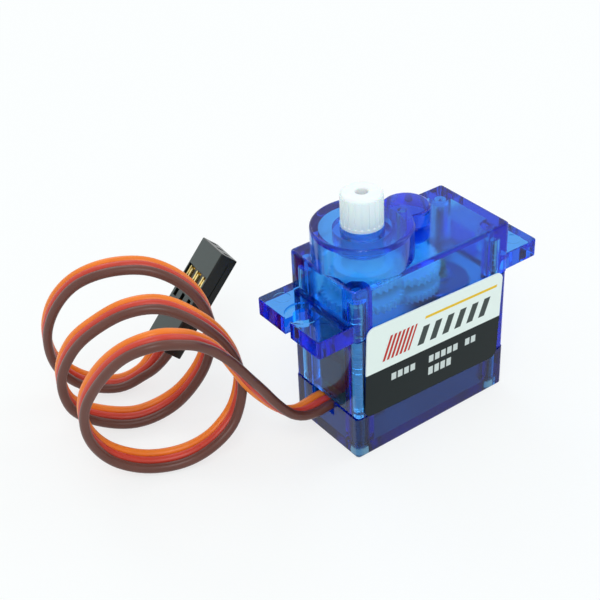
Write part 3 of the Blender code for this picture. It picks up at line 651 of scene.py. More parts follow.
def printed_label(label, middle, tilt):
    """Two-tone film with slanted bars, a thin line and rows of dashes, none of them lettering."""
    def build(g):
        place = g.place()
        x, z = g.axes(place)[::2]
        c, s = math.cos(tilt), math.sin(tilt)
        u = (x - middle[0]) * c - (z - middle[1]) * s
        v = (x - middle[0]) * s + (z - middle[1]) * c
        slant = u - v * 0.35
        upper = v.within(-0.15, 20.0)
        dark = (0.05, 0.065, 0.06)
        hatch = ((slant + 9.0) / 0.62).fract().within(0.12, 0.72, 0.08)
        red = hatch * slant.within(-8.5, -4.3) * v.within(0.9, 4.1)
        blocks = ((slant + 9.0) / 1.9).fract().within(0.1, 0.62, 0.03)
        middle_run = slant.within(-3.3, 7.9)
        bars = blocks * middle_run * v.within(0.9, 3.3)
        line = v.within(4.25, 4.6) * middle_run
        step = u / 0.95
        first = v.within(-2.3, -1.35) * u.within(-6.65, 6.65)
        second = v.within(-4.1, -3.0) * u.within(-2.85, 2.85)
        chance = g.node("ShaderNodeTexWhiteNoise", {"noise_dimensions": "1D"}, {"W": step.floor()})
        dash = step.fract().within(0.12, 0.86, 0.08) * (chance > 0.1) * first.highest(second)
        paper = g.mix(upper, tuple(label.ink), tuple(label.paper))
        paper = g.mix(red * upper, paper, tuple(label.bars))
        paper = g.mix(bars * upper, paper, dark)
        paper = g.mix(line * upper, paper, tuple(label.line))
        paper = g.mix(dash * (1 - upper), paper, (0.62, 0.68, 0.66))
        fine = g.noise(place, 5.0, 3.0)
        return g.principled(colour=paper, rough=0.34 + fine * 0.10, specular=0.14,
                            normal=g.bump(fine, 0.05, 0.00002))
    return material("printed_film", build)


# ---- shells --------------------------------------------------------------------------------
def column(sx, sy, z0, z1, wall, end=HALF_L):
    """Screw column in one corner, run a little way into both walls."""
    reach_x = end - wall / 2
    reach_y = HALF_W - wall / 2
    arc = [math.pi + math.pi / 2 * k / 12 for k in range(13)]
    points = [(reach_x, reach_y), (COLUMN_X - COLUMN_R, reach_y)]
    points += [(COLUMN_X + COLUMN_R * math.cos(a), COLUMN_Y + COLUMN_R * math.sin(a)) for a in arc]
    points += [(reach_x, COLUMN_Y - COLUMN_R)]
    return prism([(sx * px, sy * py) for px, py in points], z0, z1)


def with_columns(mesh, z0, z1, wall, end=HALF_L):
    return union(mesh, *[column(sx, sy, z0, z1, wall, end) for sx, sy in corners()])


def drilled(mesh, radius, z0, z1, steps=32):
    """Cut a round hole in each of the four columns."""
    return cut(mesh, *[cylinder(sx * COLUMN_X, sy * COLUMN_Y, radius, z0, z1, steps) for sx, sy in corners()])


def hollowed(mesh, half_l, wall, z0, z1):
    """Cut out the room between the walls."""
    return cut(mesh, soft_block(2 * (half_l - wall), 2 * (HALF_W - wall), z0, z1, INNER_CORNER_R))


def bottom_cover(shell, clear):
    wall = shell.wall / MM
    mesh = soft_block(2 * HALF_L, 2 * HALF_W, 0, COVER_H, CORNER_R, low=0.25, high=SEAM_EDGE)
    mesh = hollowed(mesh, HALF_L, wall, FLOOR, COVER_H + 1)
    mesh = with_columns(mesh, FLOOR / 2, COVER_H - 0.15, wall)
    mesh = drilled(mesh, SCREW_HOLE_R, -1, COVER_H + 1)
    mesh = drilled(mesh, HEAD_POCKET_R, -1, 1.0, 40)
    mid, width, low = NOTCH
    mesh = cut(mesh, box(-HALF_L - 1, -HALF_L + wall + 0.3, mid - width / 2, mid + width / 2,
                         low, COVER_H + 1))
    mesh = cut(mesh, cylinder(TRIM_X, 0, 0.85, -1, FLOOR + 1, 40))
    return piece("cover_moulding", mesh, clear, "case", ("bottom_cover",), 32)


def middle_case(shell, clear):
    wall = shell.wall / MM
    end = MIDDLE_HIGH[0]
    low = MIDDLE_LOW[2]
    mesh = soft_block(2 * end, 2 * HALF_W, low, DECK_TOP, CORNER_R, low=SEAM_EDGE, high=SEAM_EDGE)
    mesh = hollowed(mesh, end, wall, low - 1, DECK_LOW)
    mesh = with_columns(mesh, low, DECK_LOW + DECK / 2, wall, end)
    mesh = drilled(mesh, SCREW_HOLE_R, low - 1, DECK_TOP + 1)
    mesh = cut(mesh, cylinder(MOTOR_X, 0, 1.7, DECK_LOW - 1, DECK_TOP + 1))
    for x in (OUT_X, PIN_X):
        mesh = cut(mesh, cylinder(x, 0, PIN_R + PIN_GAP, DECK_LOW - 1, DECK_TOP + 1, 32))
    return piece("middle_moulding", mesh, clear, "case", ("middle_case",), 32)


def ear(side, wall):
    """Mounting ear with a counterbored, slotted hole and two shallow ejector marks."""
    tip = side * EAR_TIP
    root = side * (HALF_L - wall / 2)
    top = EAR_Z + EAR_T
    plate = soft_block(abs(tip - root), EAR_W, EAR_Z, top, 0.4, low=0.15, high=0.15, x=(tip + root) / 2)
    hole_x = side * EAR_HOLE_X
    plate = cut(plate, cylinder(hole_x, 0, 1.15, EAR_Z - 1, top + 1, 48))
    plate = cut(plate, cylinder(hole_x, 0, 2.1, top - 0.25, top + 1, 64))
    for x, y in ((hole_x, 3.9), (hole_x, -3.9)):
        plate = cut(plate, cylinder(x, y, 1.0, top - 0.05, top + 1, 40))
    slot = box(min(hole_x, tip + side), max(hole_x, tip + side), -0.55, 0.55, EAR_Z - 1, top + 1)
    return cut(plate, slot)


def top_case(shell, clear):
    wall = shell.wall / MM
    edge = shell.edge / MM
    mesh = soft_block(2 * HALF_L, 2 * HALF_W, EAR_Z, CASE_H, CORNER_R, high=edge)
    turret = lathe([(0, ROOF_Z), (TURRET_R, ROOF_Z)] + rim(TURRET_R, TOP_Z, edge) + [(0, TOP_Z)], 128, OUT_X)
    boss_z = TOP_Z - 0.02
    boss = lathe([(0, ROOF_Z + 0.3), (BOSS_R, ROOF_Z + 0.3)] + rim(BOSS_R, boss_z, edge) + [(0, boss_z)],
                 80, BOSS_X)
    mesh = union(mesh, ear(-1, wall), ear(1, wall), turret, boss)
    mesh = hollowed(mesh, HALF_L, wall, EAR_Z - 1, ROOF_Z)
    mesh = with_columns(mesh, EAR_Z, ROOF_Z + ROOF / 2, wall)
    mesh = cut(mesh, cylinder(OUT_X, 0, TURRET_R - wall, ROOF_Z - 1, TOP_Z - ROOF, 96))
    mesh = union(mesh, cylinder(OUT_X, 0, HUB_R, TOP_Z - ROOF - 1.5, TOP_Z - ROOF / 2, 80))
    mesh = cut(mesh, cylinder(OUT_X, 0, SLEEVE_BORE_R, ROOF_Z, TOP_Z + 1, 80))
    mesh = drilled(mesh, SCREW_HOLE_R, EAR_Z - 1, SCREW_HOLE_END)
    mesh = cut(mesh, cylinder(PIN_X, 0, PIN_R + PIN_GAP, ROOF_Z - 1, TOP_Z - 1.3, 32))
    return piece("top_moulding", mesh, clear, "case", ("top_case",), 32)


# ---- shaft and gears -----------------------------------------------------------------------
def gear_outline(teeth, module):
    """Tooth outline with curved flanks."""
    pitch_r = module * teeth / 2
    root, tip = pitch_r - module, pitch_r + 0.8 * module
    step = 2 * math.pi / teeth
    shape = ((root, 0.33), (root + 0.35 * (tip - root), 0.27), (root + 0.7 * (tip - root), 0.20), (tip, 0.11))
    points = []
    for k in range(teeth):
        a = math.pi / teeth + k * step
        for r, share in shape:
            points.append((r * math.cos(a - share * step), r * math.sin(a - share * step)))
        for r, share in shape[::-1]:
            points.append((r * math.cos(a + share * step), r * math.sin(a + share * step)))
    return points


def output_wheel(white):
    """Last wheel with its hub and the shaft, whose screw hole is open at the top."""
    low = corners_of("output_gear")[0][2]
    top = low + 1.15
    wheel = prism([(x + OUT_X, y) for x, y in gear_outline(30, 0.25)], low, top)
    core = 2.34
    flare = [(HUB_R, top - 0.3), (HUB_R, top + 1.0), (SHAFT_R, top + 1.0), (SHAFT_R, TOP_Z + 0.3),
             (core, TOP_Z + 0.4)]
    profile = [(0, top - 0.3)] + flare + rim(core, SHAFT_TOP, 0.35, 5) + [(0, SHAFT_TOP)]
    mesh = union(wheel, lathe(profile, 84, OUT_X))
    mesh = cut(mesh, cylinder(OUT_X, 0, PIN_R + 2 * PIN_GAP, low - 1, CASE_H + 0.6, 32))
    bottom = SHAFT_TOP - SHAFT_HOLE_DEPTH
    hole = [(0, bottom), (SHAFT_HOLE_R, bottom), (SHAFT_HOLE_R, SHAFT_TOP - 0.12),
            (SHAFT_HOLE_MOUTH_R, SHAFT_TOP + 0.05), (SHAFT_HOLE_MOUTH_R, SHAFT_TOP + 1), (0, SHAFT_TOP + 1)]
    mesh = cut(mesh, lathe(hole, 48, OUT_X))
    return piece("output_wheel", mesh, white, "output", ("output_gear",), 35)


# ---- repeated pieces by geometry nodes -----------------------------------------------------
def node_group(name, sizes):
    """Empty geometry tree with a geometry output, an object's points as input and named sizes."""
    tree = bpy.data.node_groups.new(name, "GeometryNodeTree")
    tree.interface.new_socket("Geometry", in_out="INPUT", socket_type="NodeSocketGeometry")
    tree.interface.new_socket("Geometry", in_out="OUTPUT", socket_type="NodeSocketGeometry")
    for label, (kind, value) in sizes.items():
        made = tree.interface.new_socket(label, in_out="INPUT", socket_type=kind)
        if value is not None:
            made.default_value = value
    return tree


def run_tree(name, points, tree, values):
    """Plain mesh that a geometry tree makes on points in millimetres."""
    mesh = bpy.data.meshes.new(name)
    mesh.from_pydata([[c * MM for c in p] for p in points], [], [])
    obj = bpy.data.objects.new(name, mesh)
    bpy.context.scene.collection.objects.link(obj)
    mod = obj.modifiers.new("repeat", "NODES")
    mod.node_group = tree
    for item in tree.interface.items_tree:
        if item.item_type == "SOCKET" and item.in_out == "INPUT" and item.name in values:
            mod[item.identifier] = values[item.name]
    result = evaluated_mesh(obj)
    bpy.data.objects.remove(obj)
    if not result.polygons:
        raise RuntimeError(f"{name}: the tree made no faces")
    return result


def finish_tree(graph, inputs, shape, turn=None):
    """Put a shape on every point, make it real and give it its material."""
    instance = {"Points": inputs, "Instance": shape}
    if turn is not None:
        instance["Rotation"] = turn
    spread = graph.node("GeometryNodeInstanceOnPoints", {}, instance)
    real = graph.node("GeometryNodeRealizeInstances", {}, {"Geometry": spread})
    dressed = graph.node("GeometryNodeSetMaterial", {},
                         {"Geometry": real, "Material": inputs.other("Material")})
    graph.node("NodeGroupOutput", {}, {"Geometry": dressed})


def lifted(graph, shape, height):
    """A shape moved up."""
    shift = graph.node("ShaderNodeCombineXYZ", {}, {"Z": height})
    return graph.node("GeometryNodeTransform", {}, {"Geometry": shape, "Translation": shift})


def screw_tree():
    """A screw that points up: dished head, shank, thread ridge and tapered tip."""
    tree = node_group("case_screw", {
        "Material": ("NodeSocketMaterial", None),
        "Head radius": ("NodeSocketFloat", 0.00095), "Head height": ("NodeSocketFloat", 0.00065),
        "Shank radius": ("NodeSocketFloat", 0.0005), "Length": ("NodeSocketFloat", 0.02)})
    g = Graph(tree)
    inputs = g.node("NodeGroupInput")
    head_r, head_h = inputs.other("Head radius"), inputs.other("Head height")
    shank_r, length = inputs.other("Shank radius"), inputs.other("Length")
    head = g.node("GeometryNodeMeshCone", {}, {"Vertices": 40, "Side Segments": 1, "Fill Segments": 1,
                                               "Radius Top": head_r, "Radius Bottom": head_r * 0.8,
                                               "Depth": head_h})
    shank = g.node("GeometryNodeMeshCylinder", {}, {"Vertices": 24, "Radius": shank_r, "Depth": length})
    shank = lifted(g, shank, head_h + length * 0.5)
    tip = g.node("GeometryNodeMeshCone", {}, {"Vertices": 24, "Radius Top": shank_r * 0.15,
                                              "Radius Bottom": shank_r, "Depth": shank_r * 1.6})
    tip = lifted(g, tip, head_h + length)
    helix = g.node("GeometryNodeCurveSpiral", {}, {"Resolution": 20, "Rotations": 14.0,
                                                   "Start Radius": shank_r, "End Radius": shank_r,
                                                   "Height": length * 0.5})
    helix = lifted(g, helix, head_h + length * 0.45)
    ridge = g.node("GeometryNodeCurvePrimitiveCircle", {"mode": "RADIUS"},
                   {"Resolution": 5, "Radius": shank_r * 0.16})
    thread = g.node("GeometryNodeCurveToMesh", {},
                    {"Curve": helix, "Profile Curve": ridge, "Fill Caps": True})
    both = g.node("GeometryNodeJoinGeometry")
    for part in (head, shank, tip, thread):
        tree.links.new(part.socket, both.socket.node.inputs[0])
    finish_tree(g, inputs, both)
    return tree


def block_tree(name):
    """A small block on every point, each turned one step further than the last."""
    tree = node_group(name, {
        "Material": ("NodeSocketMaterial", None),
        "Size": ("NodeSocketVector", (0.001, 0.001, 0.001)),
        "Turn step": ("NodeSocketFloat", 0.0)})
    g = Graph(tree)
    inputs = g.node("NodeGroupInput")
    block = g.node("GeometryNodeMeshCube", {}, {"Size": inputs.other("Size")})
    index = g.node("GeometryNodeInputIndex")
    turn = g.node("ShaderNodeCombineXYZ", {}, {"Z": index * inputs.other("Turn step")})
    finish_tree(g, inputs, block, turn)
    return tree


def case_screws(steel):
    low, high = corners_of("case_screw_1")
    points = [(sx * COLUMN_X, sy * COLUMN_Y, low[2] + 0.325) for sx, sy in corners()]
    values = {"Material": steel, "Length": (high[2] - low[2] - 1.2) * MM}
    mesh = run_tree("case_screws", points, screw_tree(), values)
    names = [f"case_screw_{k + 1}" for k in range(4)]
    return piece("case_screws", mesh, None, "case", names, 40)


def serrations(white):
    """The 21 fine ridges that grip a horn."""
    radius, count = 2.28, 21
    step = 2 * math.pi / count
    low, high = TOP_Z + 0.15, SHAFT_TOP - 0.32
    points = [(OUT_X + radius * math.cos(k * step), radius * math.sin(k * step), (low + high) / 2)
              for k in range(count)]
    values = {"Material": white, "Size": (0.30 * MM, 0.44 * MM, (high - low) * MM), "Turn step": step}
    mesh = run_tree("shaft_serrations", points, block_tree("serration"), values)
    return piece("shaft_serrations", mesh, None, "output", (), 20)


def chip_legs(tin):
    """Rows of tinned legs beside the two chips, flat on the board."""
    points = []
    rows = (("logic_chip", 1, -0.1, 0.3, 7), ("driver_chip", 0, 0.1, 0.22, 4))
    for chip, end, inward, out, count in rows:
        low, high = corners_of(chip)
        x = (low, high)[end][0] + inward
        for y in (low[1] - out, high[1] + out):
            points += [(x, y, low[2] + (high[2] - low[2]) * (k + 0.5) / count) for k in range(count)]
    values = {"Material": tin, "Size": (0.14 * MM, 0.55 * MM, 0.26 * MM)}
    mesh = run_tree("chip_legs", points, block_tree("chip_leg"), values)
    return piece("chip_legs", mesh, None, "case", (), 20)


# ---- motor ---------------------------------------------------------------------------------
def motor_can(steel):
    low, high = corners_of("motor_can")
    radius = (high[1] - low[1]) / 2
    top = DECK_LOW - 0.2
    sheet = 0.35
    inner = radius - sheet
    profile = [(radius, low[2])] + rim(radius, top, 0.4, 5)
    profile += [(1.5, top), (1.5, high[2] - 0.1), (1.4, high[2]), (0.5, high[2]), (0.5, top - sheet),
                (inner, top - sheet), (inner, low[2])]
    mesh = lathe(profile, 96, MOTOR_X)
    for side in (-1, 1):
        mesh = cut(mesh, box(MOTOR_X - 0.6, MOTOR_X + 0.6, min(side * 2, side * 9), max(side * 2, side * 9),
                             low[2] - 1, low[2] + 0.5))
    return piece("motor_housing", mesh, steel, "case", ("motor_can",), 35)


# ---- lead and connector --------------------------------------------------------------------
def smooth_path(points, count):
    """Even samples of a curve through every point, each a tuple of any length."""
    n = len(points)
    ends = [tuple(2 * a - b for a, b in zip(points[0], points[1]))]
    ends.append(tuple(2 * a - b for a, b in zip(points[-1], points[-2])))
    p = [ends[0]] + list(points) + [ends[1]]
    fine = []
    for i in range(n - 1):
        for k in range(24):
            t = k / 24
            a, b, c, d = p[i:i + 4]
            fine.append(tuple(0.5 * (2 * b[m] + (c[m] - a[m]) * t
                                     + (2 * a[m] - 5 * b[m] + 4 * c[m] - d[m]) * t ** 2
                                     + (3 * b[m] - a[m] - 3 * c[m] + d[m]) * t ** 3)
                              for m in range(len(b))))
    fine.append(tuple(points[-1]))
    run = [0.0]
    for a, b in zip(fine, fine[1:]):
        run.append(run[-1] + math.dist(a[:3], b[:3]))
    result, k = [], 0
    for s in range(count):
        want = run[-1] * s / (count - 1)
        while k < len(run) - 2 and run[k + 1] < want:
            k += 1
        t = (want - run[k]) / (run[k + 1] - run[k])
        result.append(tuple(a + (b - a) * t for a, b in zip(fine[k], fine[k + 1])))
    return result, run[-1]


def directions(vectors):
    """Unit tangent at every point of a path."""
    last = len(vectors) - 1
    return [(vectors[min(i + 1, last)] - vectors[max(i - 1, 0)]).normalized() for i in range(last + 1)]


def lead_lines(lead):
    """Centre line and the three wires' own lines, in millimetres, with the wires' side vectors."""
    samples, length = smooth_path([tuple(c / MM for c in q[:3]) + q[3:] for q in ROUTE], lead.sections)
    centre = [Vector(q[:3]) for q in samples]
    side = [Vector(q[3:]).normalized() for q in samples]
    gap = length / (lead.sections - 1)
    fan_run = 5.0
    spread = []
    for i in range(len(centre)):
        share = max(0.0, 1 - (len(centre) - 1 - i) * gap / fan_run)
        share = share * share * (3 - 2 * share)
        spread.append(lead.spacing / MM * (1 - share) + PITCH * share)
    for reach in (0.6, 1.4, 2.2, 3.0):
        centre.append(PLUG_END + PLUG_ALONG * reach)
        side.append(-PLUG_ACROSS)
        spread.append(PITCH)
    along = directions(centre)
    side = [(s - t * s.dot(t)).normalized() for s, t in zip(side, along)]
    wires = [[c + s * w * k for c, s, w in zip(centre, side, spread)] for k in (1, 0, -1)]
    return centre, side, wires


def wire_mesh(lines, sides, radius, steps=16):
    """One mesh with a closed round tube on each line, a material slot for each, and a UV map."""
    bm = bmesh.new()
    uv = bm.loops.layers.uv.new("UVMap")
    turn = [2 * math.pi * k / steps for k in range(steps)]
    for slot, line in enumerate(lines):
        run = [0.0]
        for a, b in zip(line, line[1:]):
            run.append(run[-1] + (b - a).length)
        rings = []
        for point, along, side in zip(line, directions(line), sides):
            side = (side - along * side.dot(along)).normalized()
            up = along.cross(side)
            ring = [point + radius * (side * math.cos(a) + up * math.sin(a)) for a in turn]
            rings.append([bm.verts.new(place * MM) for place in ring])
        for i in range(len(rings) - 1):
            for k in range(steps):
                m = (k + 1) % steps
                face = bm.faces.new((rings[i][k], rings[i][m], rings[i + 1][m], rings[i + 1][k]))
                face.material_index = slot
                face.smooth = True
                places = ((i, k), (i, k + 1), (i + 1, k + 1), (i + 1, k))
                for loop, (row, turn_at) in zip(face.loops, places):
                    loop[uv].uv = (run[row] / 10, turn_at / steps)
        for ring in (rings[0][::-1], rings[-1]):
            bm.faces.new(ring).material_index = slot
    bmesh.ops.recalc_face_normals(bm, faces=bm.faces)
    mesh = bpy.data.meshes.new("wires")
    bm.to_mesh(mesh)
    bm.free()
    return mesh


def connector(black, matt):
    """Three-way socket with cavities, contact windows and lock windows; one wide face is rougher and painted
    lighter, as if lit.
    """
    width, thick, length = PLUG
    cavity = (0.8, -0.75, 0.75, -1, length - 1.4)          # half width, then Y and Z from and to
    mouth = (0.45, -0.45, 0.45, length - 2, length + 1)
    window = (0.7, -thick, 0, length - 6.0, length - 3.8)
    lock = (0.5, -thick, 0, length - 8.2, length - 7.1)
    mesh = soft_block(width, thick, 0, length, 0.2, low=0.15, high=0.15)
    for k in (-1, 0, 1):
        for half, *reach in (cavity, mouth, window, lock):
            mesh = cut(mesh, box(k * PITCH - half, k * PITCH + half, *reach))
    recess = width / 2 - 0.45
    mesh = cut(mesh, box(-recess, recess, -thick, -thick / 2 + 0.4, length - 6.3, length - 3.6))
    for side in (-width / 2, width / 2):
        mesh = cut(mesh, box(side - 0.12, side + 0.12, -0.35, 0.35, 1.0, length - 1.0))
    mesh.materials.append(black)
    mesh.materials.append(matt)
    # Painted light: the outer wide face gets the second finish, which is rougher and painted lighter and
    # greener, as if lit.
    for face in mesh.polygons:
        face.material_index = 1 if face.normal.y < -0.9 and face.center.y < -0.4 * thick * MM else 0
    mesh.transform(Matrix.Translation(PLUG_END * MM) @ PLUG_POSE)
    return piece("connector_housing", mesh, None, "case", ("plug_housing",), 30)


def connector_contacts(gold):
    """Folded contacts: a box with a spring window, and wings closed round the wire."""
    made = []
    top = PLUG[2] - 2.2
    for k in (-1, 0, 1):
        sleeve = soft_block(1.0, 0.9, 5.0, top, 0.12, low=0.05, high=0.05)
        sleeve = cut(sleeve, box(-0.34, 0.34, -0.28, 0.28, 4.0, top + 1))
        sleeve = cut(sleeve, box(-0.2, 0.2, -0.9, 0.0, 8.6, 9.8))
        wings = lathe([(0.60, 0.8), (0.66, 0.9), (0.66, 3.4), (0.60, 3.5)], 24)
        wings = cut(wings, box(-0.08, 0.08, -1, 0, 0, 4))
        neck = box(-0.35, 0.35, 0.3, 0.42, 3.3, 5.1)
        tongues = [box(x - 0.16, x + 0.16, -1.02, -0.44, top - 3.9 + lag, top - 1.6 + lag)
                   for x, lag in ((-0.34, 0.0), (0.34, -0.25))]
        bridge = box(-0.3, 0.3, -0.9, -0.44, top - 2.6, top - 2.2)
        mesh = join(sleeve, wings, neck, bridge, *tongues)
        shift = Matrix.Translation((PLUG_END + PLUG_ACROSS * k * PITCH) * MM)
        mesh.transform(shift @ PLUG_POSE)
        number = k + 2
        made.append(piece(f"crimp_contact_{number}", mesh, gold, "case", (f"plug_contact_{number}",),
                          30))
    return made


# ---- stage ---------------------------------------------------------------------------------
def floor_material(stage):
    """Pale floor with a faint shadow, part white to the camera and in gloss, hardly so in clear parts."""
    def build(g):
        place = g.place()
        cloud = g.noise(place, 0.01, 2.0)
        colour = g.mix(cloud, darker(tuple(stage.floor), 0.985), tuple(stage.floor))
        matt = g.node("ShaderNodeBsdfDiffuse", {}, {"Color": colour})
        light = g.node("ShaderNodeEmission", {}, {"Color": (1.0, 1.0, 1.0, 1.0), "Strength": 1.0})
        path = g.node("ShaderNodeLightPath")
        clear = path.other("Is Transmission Ray") * FLOOR_IN_CLEAR
        seen = path.highest(path.other("Is Glossy Ray")).highest(clear)
        return g.node("ShaderNodeMixShader", {}, {0: seen * stage.clean, 1: matt, 2: light})
    return material("pale_floor", build)


def make_floor(stage):
    mesh = bpy.data.meshes.new("floor")
    size, z = 1.5, -0.00002
    mesh.from_pydata([(-size, -size, z), (size, -size, z), (size, size, z), (-size, size, z)],
                     [], [(0, 1, 2, 3)])
    mesh.materials.append(floor_material(stage))
    obj = bpy.data.objects.new("floor", mesh)
    bpy.context.scene.collection.objects.link(obj)


def make_world(stage):
    world = bpy.data.worlds.new("studio")
    world.use_nodes = True
    world.node_tree.nodes.clear()
    g = Graph(world.node_tree)
    path = g.node("ShaderNodeLightPath")
    seen = path.highest(path.other("Is Glossy Ray")).highest(path.other("Is Transmission Ray"))
    lit = g.node("ShaderNodeBackground", {}, {"Color": (0.94, 0.98, 1.0, 1.0), "Strength": stage.sky})
    white = g.node("ShaderNodeBackground", {}, {"Color": (1.0, 1.0, 1.0, 1.0), "Strength": 1.0})
    both = g.node("ShaderNodeMixShader", {}, {0: seen, 1: lit, 2: white})
    g.node("ShaderNodeOutputWorld", {}, {"Surface": both})
    bpy.context.scene.world = world


def make_lamp(name, place, size, power, colour=(1.0, 1.0, 1.0)):
    lamp = bpy.data.lights.new(name, "AREA")
    lamp.shape = "DISK"
    lamp.size = size
    lamp.energy = power
    lamp.color = colour
    obj = bpy.data.objects.new(name, lamp)
    obj.location = place
    obj.rotation_euler = (Vector((-0.01, 0.005, 0.01)) - Vector(place)).to_track_quat("-Z", "Y").to_euler()
    bpy.context.scene.collection.objects.link(obj)


def make_camera(stage):
    camera = bpy.data.cameras.new("camera")
    camera.lens = stage.lens
    camera.sensor_width = 36.0
    camera.clip_start = 0.005
    camera.clip_end = 20.0
    obj = bpy.data.objects.new("camera", camera)
    right = Vector((0.803, -0.594, -0.044))
    back = Vector((-0.470, -0.677, 0.566)).normalized()
    right = (right - back * right.dot(back)).normalized()
    up = back.cross(right)
    turn = Matrix((right, up, back)).transposed().to_4x4()
    obj.matrix_world = Matrix.Translation(Vector((-79.4, -93.5, 99.1)) * MM) @ turn
    bpy.context.scene.collection.objects.link(obj)
    bpy.context.scene.camera = obj


# ---- operators -----------------------------------------------------------------------------
def dress(names, finish):
    """Give CAD nodes whose shape is right their finish."""
    for name in names:
        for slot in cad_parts[name].material_slots:
            slot.material = finish


class SERVO_OT_stage(bpy.types.Operator):
    """Make the floor, the lamps and the camera"""
    bl_idname = "servo.stage"
    bl_label = "Stage"

    def execute(self, context):
        stage = context.scene.servo_stage
        make_floor(stage)
        make_world(stage)
        make_camera(stage)
        make_lamp("key", (-0.25, -0.30, 0.55), 0.30, stage.key)
        make_lamp("fill", (0.45, -0.15, 0.35), 0.35, stage.key * 0.35, (0.95, 0.98, 1.0))
        make_lamp("rim", (0.05, 0.45, 0.40), 0.30, stage.key * 0.35)
        scene = context.scene
        scene.view_settings.view_transform = "Standard"
        scene.cycles.max_bounces = 24
        scene.cycles.transmission_bounces = 24
        scene.cycles.transparent_max_bounces = 32
        scene.cycles.glossy_bounces = 8
        return {"FINISHED"}


class SERVO_OT_shells(bpy.types.Operator):
    """Make the three clear mouldings of the case"""
    bl_idname = "servo.shells"
    bl_label = "Shells"

    def execute(self, context):
        shell = context.scene.servo_shell
        clear = clear_plastic(shell)
        # The bottom cover gets painted shade: a darker tint and stronger absorption.
        bottom_cover(shell, clear_plastic(shell, COVER_SHADE_SHARE))
        middle_case(shell, clear)
        top_case(shell, clear)
        return {"FINISHED"}


class SERVO_OT_screws(bpy.types.Operator):
    """Make the four long case screws"""
    bl_idname = "servo.screws"
    bl_label = "Case screws"

    def execute(self, context):
        case_screws(plated("screw_steel", (0.62, 0.63, 0.65), 0.28))
        return {"FINISHED"}


class SERVO_OT_shaft(bpy.types.Operator):
    """Make the output wheel with its splined shaft, and finish the other gears"""
    bl_idname = "servo.shaft"
    bl_label = "Shaft and gears"

    def execute(self, context):
        white = moulded("white_nylon_finish", (0.91, 0.97, 0.97), 0.35, 5.0, 0.08, 0.98, 0.25)
        output_wheel(white)
        serrations(white)
        dress(["gear_1", "gear_2", "gear_3"], white)
        dress(["gear_pin", "output_pin"], plated("pin_steel", (0.66, 0.66, 0.68), 0.22))
        dress(["motor_pinion"], plated("brass_finish", (0.78, 0.58, 0.24), 0.28))
        return {"FINISHED"}


class SERVO_OT_motor(bpy.types.Operator):
    """Make the motor housing and finish what is in it"""
    bl_idname = "servo.motor"
    bl_label = "Motor"

    def execute(self, context):
        motor_can(plated("can_steel", (0.62, 0.62, 0.63), 0.32, (1.0, 1.0, 8.0)))
        dress(["motor_rotor"], winding("winding_finish", (0.62, 0.25, 0.10)))
        magnet = moulded("magnet_finish", (0.07, 0.07, 0.08), 0.6, 10.0, 0.4)
        dress(["motor_magnet_1", "motor_magnet_2"], magnet)
        dress(["motor_end_cap"], moulded("end_cap_finish", (0.78, 0.79, 0.76), 0.45))
        return {"FINISHED"}


class SERVO_OT_board(bpy.types.Operator):
    """Finish the circuit board and make the legs of its chips"""
    bl_idname = "servo.board"
    bl_label = "Circuit board"

    def execute(self, context):
        dress(["control_board"], solder_mask("board_finish", (0.015, 0.12, 0.05)))
        dress(["logic_chip", "driver_chip"],
              moulded("chip_finish", (0.02, 0.021, 0.023), 0.5, 14.0, 0.3))
        dress(["capacitor"], plated("capacitor_finish", (0.8, 0.8, 0.82), 0.25, (10.0, 1.0, 1.0)))
        dress(["trim_pot_body"], moulded("trimmer_body_finish", (0.04, 0.12, 0.45), 0.45))
        dress(["trim_pot_rotor"], moulded("trimmer_rotor_finish", (0.85, 0.85, 0.84), 0.4))
        dress(["motor_lead_red"], moulded("inner_lead_red", (0.6, 0.03, 0.02), 0.35))
        dress(["motor_lead_black"], moulded("inner_lead_black", (0.02, 0.02, 0.02), 0.35))
        chip_legs(plated("tinned_finish", (0.75, 0.75, 0.76), 0.3))
        return {"FINISHED"}


class SERVO_OT_label(bpy.types.Operator):
    """Print the sticker on the side of the case"""
    bl_idname = "servo.label"
    bl_label = "Sticker"

    def execute(self, context):
        middle = (middle_of("side_label", 0), middle_of("side_label", 2))
        dress(["side_label"], printed_label(context.scene.servo_label, middle, math.radians(2.4)))
        return {"FINISHED"}


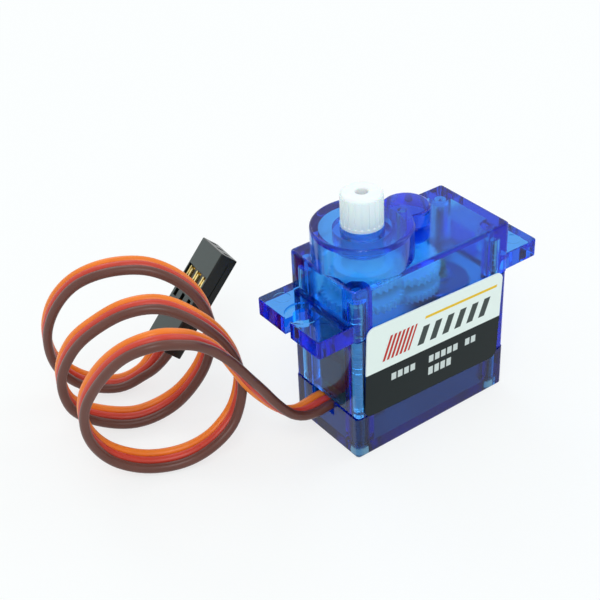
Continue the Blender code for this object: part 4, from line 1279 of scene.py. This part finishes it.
class SERVO_OT_lead(bpy.types.Operator):
    """Make the three-wire lead and its connector"""
    bl_idname = "servo.lead"
    bl_label = "Lead"

    def execute(self, context):
        lead = context.scene.servo_lead
        centre, sides, wires = lead_lines(lead)
        mesh = wire_mesh(wires, sides, lead.wire / 2 / MM)
        covers = {"wire_orange": lead.orange, "wire_red_finish": lead.red, "wire_brown": lead.brown}
        for name, colour in covers.items():
            mesh.materials.append(insulation(name, tuple(colour)))
        ribbon = piece("lead_wires", mesh, None, "case", ("lead_ribbon",))
        # The second finish is rougher, and painted lighter for the light that falls on the connector's wide
        # face.
        housing = connector(moulded("connector_black", (0.004, 0.007, 0.007), 0.3, 8.0, 0.1),
                            moulded("connector_matt_painted_lit_face", (0.050, 0.070, 0.067), 0.5, 8.0, 0.25))
        contacts = connector_contacts(plated("gold_finish", (0.95, 0.80, 0.33), 0.36))
        return {"FINISHED"}


STEPS = (SERVO_OT_stage, SERVO_OT_lead, SERVO_OT_shells, SERVO_OT_screws, SERVO_OT_shaft, SERVO_OT_motor,
         SERVO_OT_board, SERVO_OT_label)


class SERVO_PT_panel(bpy.types.Panel):
    """Steps that build the servo's finished pieces"""
    bl_label = "Servo"
    bl_idname = "SERVO_PT_panel"
    bl_space_type = "VIEW_3D"
    bl_region_type = "UI"
    bl_category = "Servo"

    def draw(self, context):
        for step in STEPS:
            self.layout.operator(step.bl_idname)
        for name in ("servo_shell", "servo_lead", "servo_label", "servo_stage"):
            settings = getattr(context.scene, name)
            section = self.layout.box()
            for key in settings.__annotations__:
                section.prop(settings, key)


SETTINGS = {"servo_shell": ShellSettings, "servo_lead": LeadSettings, "servo_label": LabelSettings,
            "servo_stage": StageSettings}


def register():
    for cls in (*SETTINGS.values(), *STEPS, SERVO_PT_panel):
        bpy.utils.register_class(cls)
    for name, cls in SETTINGS.items():
        setattr(bpy.types.Scene, name, PointerProperty(type=cls))


def unregister():
    for name in SETTINGS:
        delattr(bpy.types.Scene, name)
    for cls in (SERVO_PT_panel, *reversed(STEPS), *reversed(tuple(SETTINGS.values()))):
        bpy.utils.unregister_class(cls)


def main():
    register()
    for step in STEPS:
        group, name = step.bl_idname.split(".")
        getattr(getattr(bpy.ops, group), name)()


if __name__ == "__main__":
    main()
